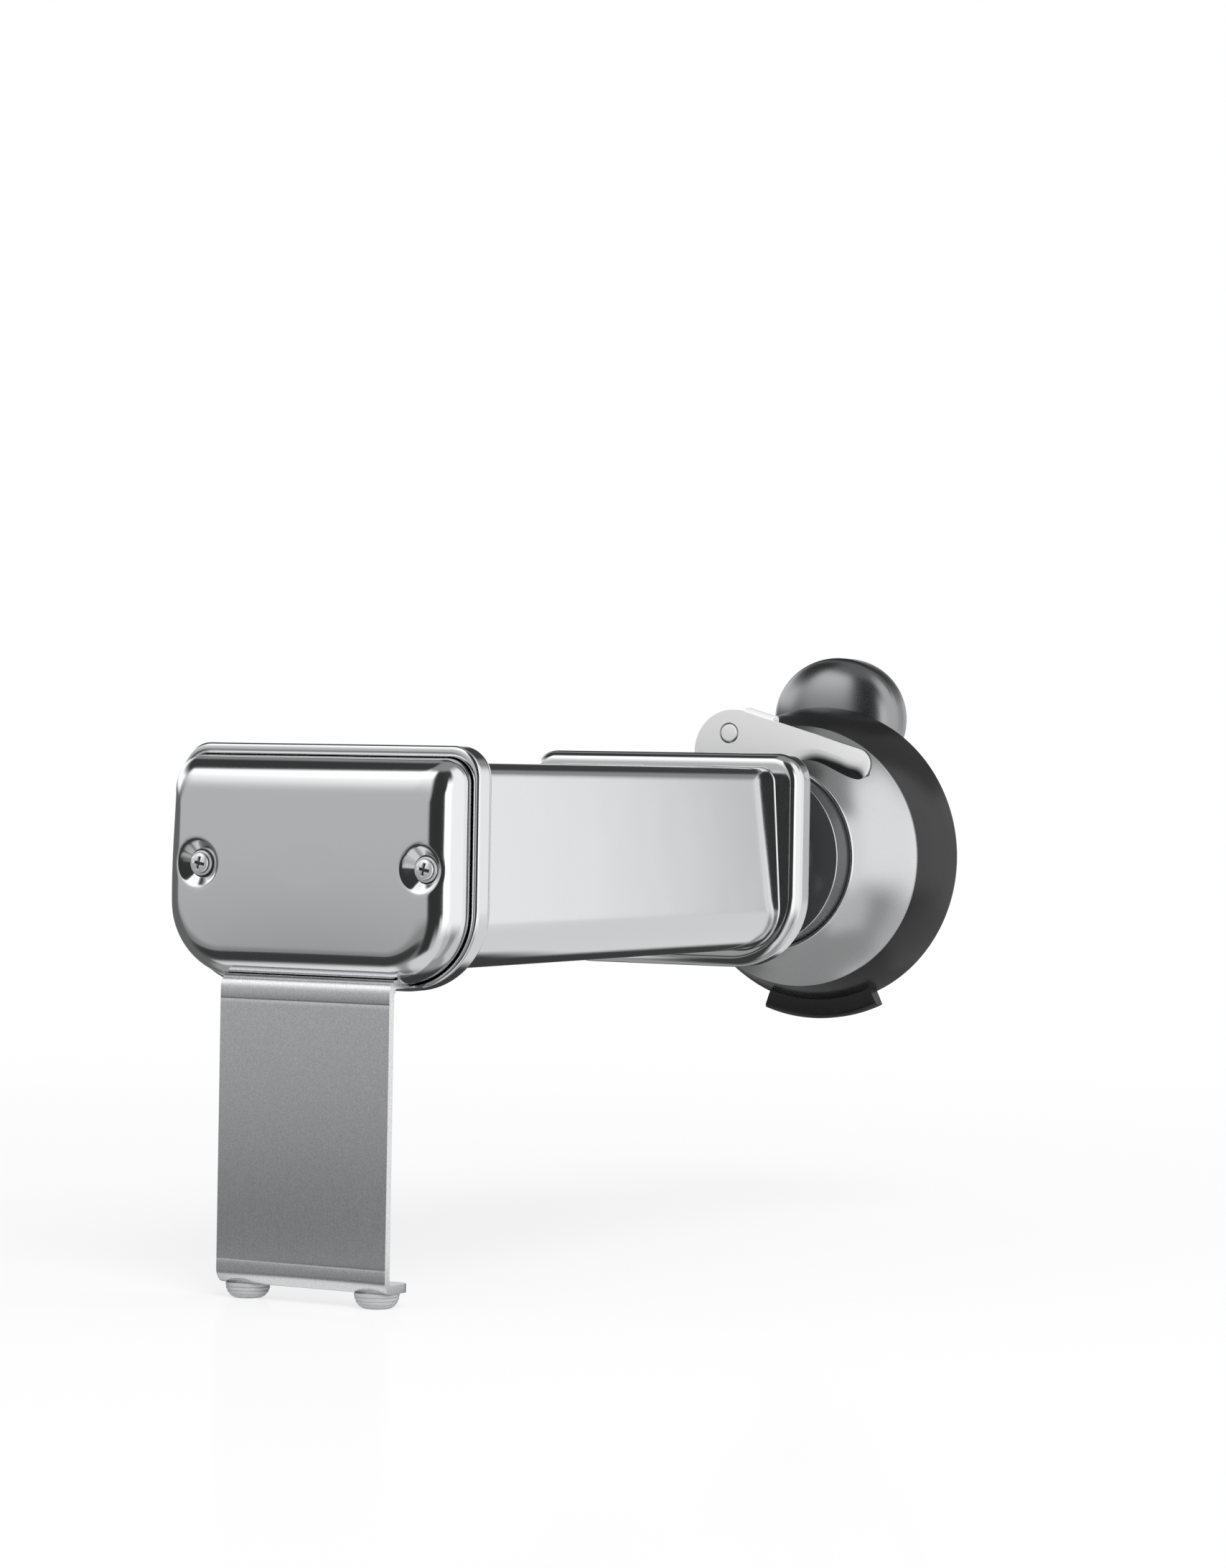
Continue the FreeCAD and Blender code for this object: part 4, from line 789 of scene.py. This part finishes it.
def ground():
    """Level square under the feet. The camera sees it white, with a share of matt paint and of gloss that
    fades with the distance from the leg, so that it keeps the object's shadow; reflections see only painted
    shade under and before the object, a pale painted strip along the leg's foot and, past that, the
    surround."""
    half, under, matt_share, gloss_share, dark, pale = 8.0, floor_z * per_mm, 0.26, 0.035, 0.055, 0.80
    corners = [(x * half - 0.15, y * half, under) for x, y in ((-1, -1), (1, -1), (1, 1), (-1, 1))]
    tree = staged("floor", corners, [(0, 1, 2, 3)], "white_floor")[1]
    place = add(tree, "TexCoord").outputs["Object"]
    foot, shades = (x_leg * per_mm, mid_y * per_mm, under), []
    # Centre and stretch of each disc, and where it ends and is full: under the body, out before the leg, at
    # the foot, and what the camera sees
    for centre, stretch, end, full in (((-0.16, 0.017, under), (0.45, 1, 0), 0.062, 0.036),
                                       ((-0.43, 0.12, under), (1, 1, 0), 0.16, 0.095),
                                       (foot, (1, 0.3, 0), 0.013, 0.005), (foot, (1, 1, 0), 0.9, 0.1)):
        offset = add(tree, "VectorMath", {0: place, 1: centre}, operation="SUBTRACT").outputs[0]
        scaled = add(tree, "VectorMath", {0: offset, 1: stretch}, operation="MULTIPLY").outputs[0]
        far = add(tree, "VectorMath", {0: scaled}, operation="LENGTH").outputs["Value"]
        shades.append(add(tree, "MapRange", {"Value": far, "From Min": end, "From Max": full},
                          interpolation_type="SMOOTHSTEP").outputs[0])
    under_it = add(tree, "Math", {0: shades[0], 1: shades[1]}, operation="MAXIMUM").outputs[0]
    under_it = add(tree, "Math", {0: under_it, 1: shades[2]}, operation="MAXIMUM").outputs[0]
    clear = add(tree, "BsdfTransparent")
    # Reflections: a pale painted strip along the leg's foot, and painted shade under the body and out
    # before the leg
    tone = add(tree, "MapRange", {"Value": shades[2], "To Min": dark, "To Max": pale}).outputs[0]
    shade = add(tree, "Emission", {"Color": linear("#FFFFFF"), "Strength": tone})
    mirrored = add(tree, "MixShader", {0: under_it, 1: clear.outputs[0], 2: shade.outputs[0]})
    matt = add(tree, "BsdfDiffuse", {"Color": linear("#F0F0F0")})
    white = add(tree, "Emission", {"Color": linear("#FFFFFF"), "Strength": 1.0})
    shine = add(tree, "BsdfGlossy", {"Color": linear("#FFFFFF"), "Roughness": 0.12})
    paint = add(tree, "Math", {0: shades[3], 1: matt_share}, operation="MULTIPLY")
    wet = add(tree, "Math", {0: shades[3], 1: gloss_share}, operation="MULTIPLY")
    seen = add(tree, "MixShader", {0: paint.outputs[0], 1: white.outputs[0], 2: matt.outputs[0]})
    seen = add(tree, "MixShader", {0: wet.outputs[0], 1: seen.outputs[0], 2: shine.outputs[0]})
    ray = add(tree, "LightPath").outputs
    direct = add(tree, "Math", {0: ray["Is Camera Ray"], 1: ray["Is Transmission Ray"]},
                 operation="MAXIMUM")
    plain = add(tree, "MixShader", {0: direct.outputs[0], 1: matt.outputs[0], 2: seen.outputs[0]})
    both = add(tree, "MixShader", {0: ray["Is Glossy Ray"], 1: plain.outputs[0], 2: mirrored.outputs[0]})
    add(tree, "OutputMaterial", {"Surface": both.outputs[0]})


def surround():
    """Sphere of 2.5 m that only reflections see: soft panels and dark drapes set by azimuth and height."""
    radius, centre, base = 2.5, (-0.15, 0.017, 0.0), 0.30
    u, v = np.linspace(0, 2 * math.pi, 96, endpoint=False), np.linspace(-math.pi / 2, math.pi / 2, 49)
    grid = np.stack([np.cos(v)[:, None] * np.cos(u), np.cos(v)[:, None] * np.sin(u),
                     np.repeat(np.sin(v)[:, None], len(u), 1)], -1)
    points, faces = lattice(grid * radius + np.array(centre), wrap_cols=True)
    made, tree = staged("surround", points, faces, "studio_panels")
    for kind in ("camera", "diffuse", "transmission", "volume_scatter", "shadow"):
        setattr(made, "visible_" + kind, False)
    place = add(tree, "TexCoord").outputs["Object"]
    offset = add(tree, "VectorMath", {0: place, 1: centre}, operation="SUBTRACT").outputs[0]
    height = add(tree, "SeparateXYZ", {0: offset}).outputs["Z"]
    rise = add(tree, "Math", {0: height, 1: radius}, operation="DIVIDE").outputs[0]
    rise = add(tree, "Math", {0: rise}, operation="ARCSINE").outputs[0]
    level_way = add(tree, "VectorMath", {0: offset, 1: (1, 1, 0)}, operation="MULTIPLY").outputs[0]
    level_way = add(tree, "VectorMath", {0: level_way}, operation="NORMALIZE").outputs[0]
    # Azimuth of the middle, half width and softness; lowest height and softness; highest height and
    # softness, all in degrees; level. A later panel stands before an earlier one.
    panels = [
        (0, 200, 1, -100, 1, -35, 20, 0.38),
        (0, 200, 1, 64, 16, 100, 1, 0.32),
        (92, 44, 14, -45, 10, 8, 8, 0.16),
        (84, 34, 16, 10, 10, 30, 12, 1.35),
        (88, 30, 16, 38, 8, 72, 10, 0.05),
        (158, 26, 14, -36, 8, -5, 10, 0.30),
        (158, 26, 14, -5, 10, 30, 10, 0.58),
        (150, 28, 12, 27, 40, 58, 14, 1.50),
        (137, 16, 10, -57, 6, -38, 8, 0.95),
        (202, 23, 8, -42, 8, 60, 14, 0.04),
        (232, 30, 8, -62, 8, -22, 26, 0.60),
        (226, 12, 6, -45, 10, -6, 8, 0.80),
        (205, 35, 12, -85, 10, -40, 8, 0.80),
        (238, 16, 4, -20, 26, 30, 34, 1.50),
        (222, 16, 10, 36, 24, 60, 14, 0.05),
        (272, 30, 16, -22, 24, 64, 24, 1.15),
        (316, 18, 9, -50, 12, 30, 12, 1.05),
        (312, 26, 14, -56, 10, -24, 20, 0.70),
        (352, 24, 10, -38, 8, -5, 6, 0.80),
        (382, 13, 8, -34, 8, -8, 6, 0.05),
        (381, 40, 10, -5, 6, 14, 6, 1.00),
        (375, 26, 10, 18, 8, 62, 14, 0.06)]
    total = base
    for middle, half, soft, low, low_soft, top, top_soft, level in panels:
        toward = (math.cos(math.radians(middle)), math.sin(math.radians(middle)), 0)
        cosine = add(tree, "VectorMath", {0: level_way, 1: toward}, operation="DOT_PRODUCT")
        off = add(tree, "Math", {0: cosine.outputs["Value"]}, operation="ARCCOSINE").outputs[0]
        area = 1.0
        for value, first, last in ((off, half + soft / 2, half - soft / 2),
                                   (rise, low - low_soft / 2, low + low_soft / 2),
                                   (rise, top + top_soft / 2, top - top_soft / 2)):
            part = add(tree, "MapRange", {"Value": value, "From Min": math.radians(first),
                                          "From Max": math.radians(last)}, interpolation_type="SMOOTHSTEP")
            area = add(tree, "Math", {0: part.outputs[0], 1: area}, operation="MULTIPLY").outputs[0]
        total = add(tree, "Mix", {0: area, number_a: total, number_b: level}).outputs[0]
    light = add(tree, "Emission", {"Color": linear("#FFFFFF"), "Strength": total})
    add(tree, "OutputMaterial", {"Surface": light.outputs[0]})


ground()
surround()

world = bpy.data.worlds.new("white_studio")
bpy.context.scene.world = world
world.use_nodes = True
tree = world.node_tree
tree.nodes.clear()
ray = add(tree, "LightPath").outputs
clear = add(tree, "Math", {0: ray["Is Camera Ray"], 1: ray["Is Glossy Ray"]}, operation="MAXIMUM")
clear = add(tree, "Math", {0: clear.outputs[0], 1: ray["Is Transmission Ray"]}, operation="MAXIMUM")
level = add(tree, "MapRange", {"Value": clear.outputs[0], "To Min": 0.6, "To Max": 1.0})
sky = add(tree, "Background", {"Color": linear("#FFFFFF"), "Strength": level.outputs[0]})
add(tree, "OutputWorld", {"Surface": sky.outputs[0]})


def lamp(name, place, size, watts):
    """Square soft light at place, turned to the middle of the object; reflections show the surround
    instead."""
    data = bpy.data.lights.new(name, "AREA")
    data.size, data.energy = size, watts
    made = bpy.data.objects.new(name, data)
    bpy.context.scene.collection.objects.link(made)
    made.location = place
    made.rotation_euler = (Vector((-0.15, 0.0, 0.0)) - Vector(place)).to_track_quat("-Z", "Y").to_euler()
    made.visible_glossy = False


lamp("key", (-1.2, -0.9, 1.3), 1.0, 22)
lamp("fill", (0.4, -1.6, 0.7), 1.2, 9)

# Camera: place in millimetres, turns in radians, sensor in millimetres, focal length and width in pixels
eye, yaw, pitch, roll = np.array([-1060.737, -493.912, 22.932]), 0.4895228, -0.0041018, 0.0169039
sensor, focal, wide = 36.0, 6000, 1708
ahead = np.array([math.cos(pitch) * math.cos(yaw), math.cos(pitch) * math.sin(yaw), math.sin(pitch)])
right = np.cross(ahead, (0, 0, 1))
right /= np.linalg.norm(right)
above = np.cross(right, ahead)
right, above = (math.cos(roll) * right + math.sin(roll) * above,
                math.cos(roll) * above - math.sin(roll) * right)
lens = bpy.data.cameras.new("camera")
lens.sensor_fit, lens.sensor_width, lens.lens = "HORIZONTAL", sensor, sensor * focal / wide
lens.clip_start, lens.clip_end = 0.05, 50.0
camera = bpy.data.objects.new("camera", lens)
bpy.context.scene.collection.objects.link(camera)
turned = np.eye(4)
turned[:3, 0], turned[:3, 1], turned[:3, 2] = right, above, -ahead
turned[:3, 3] = eye * per_mm
camera.matrix_world = Matrix(turned.tolist())
bpy.context.scene.camera = camera

bpy.context.scene.view_settings.view_transform = "Standard"
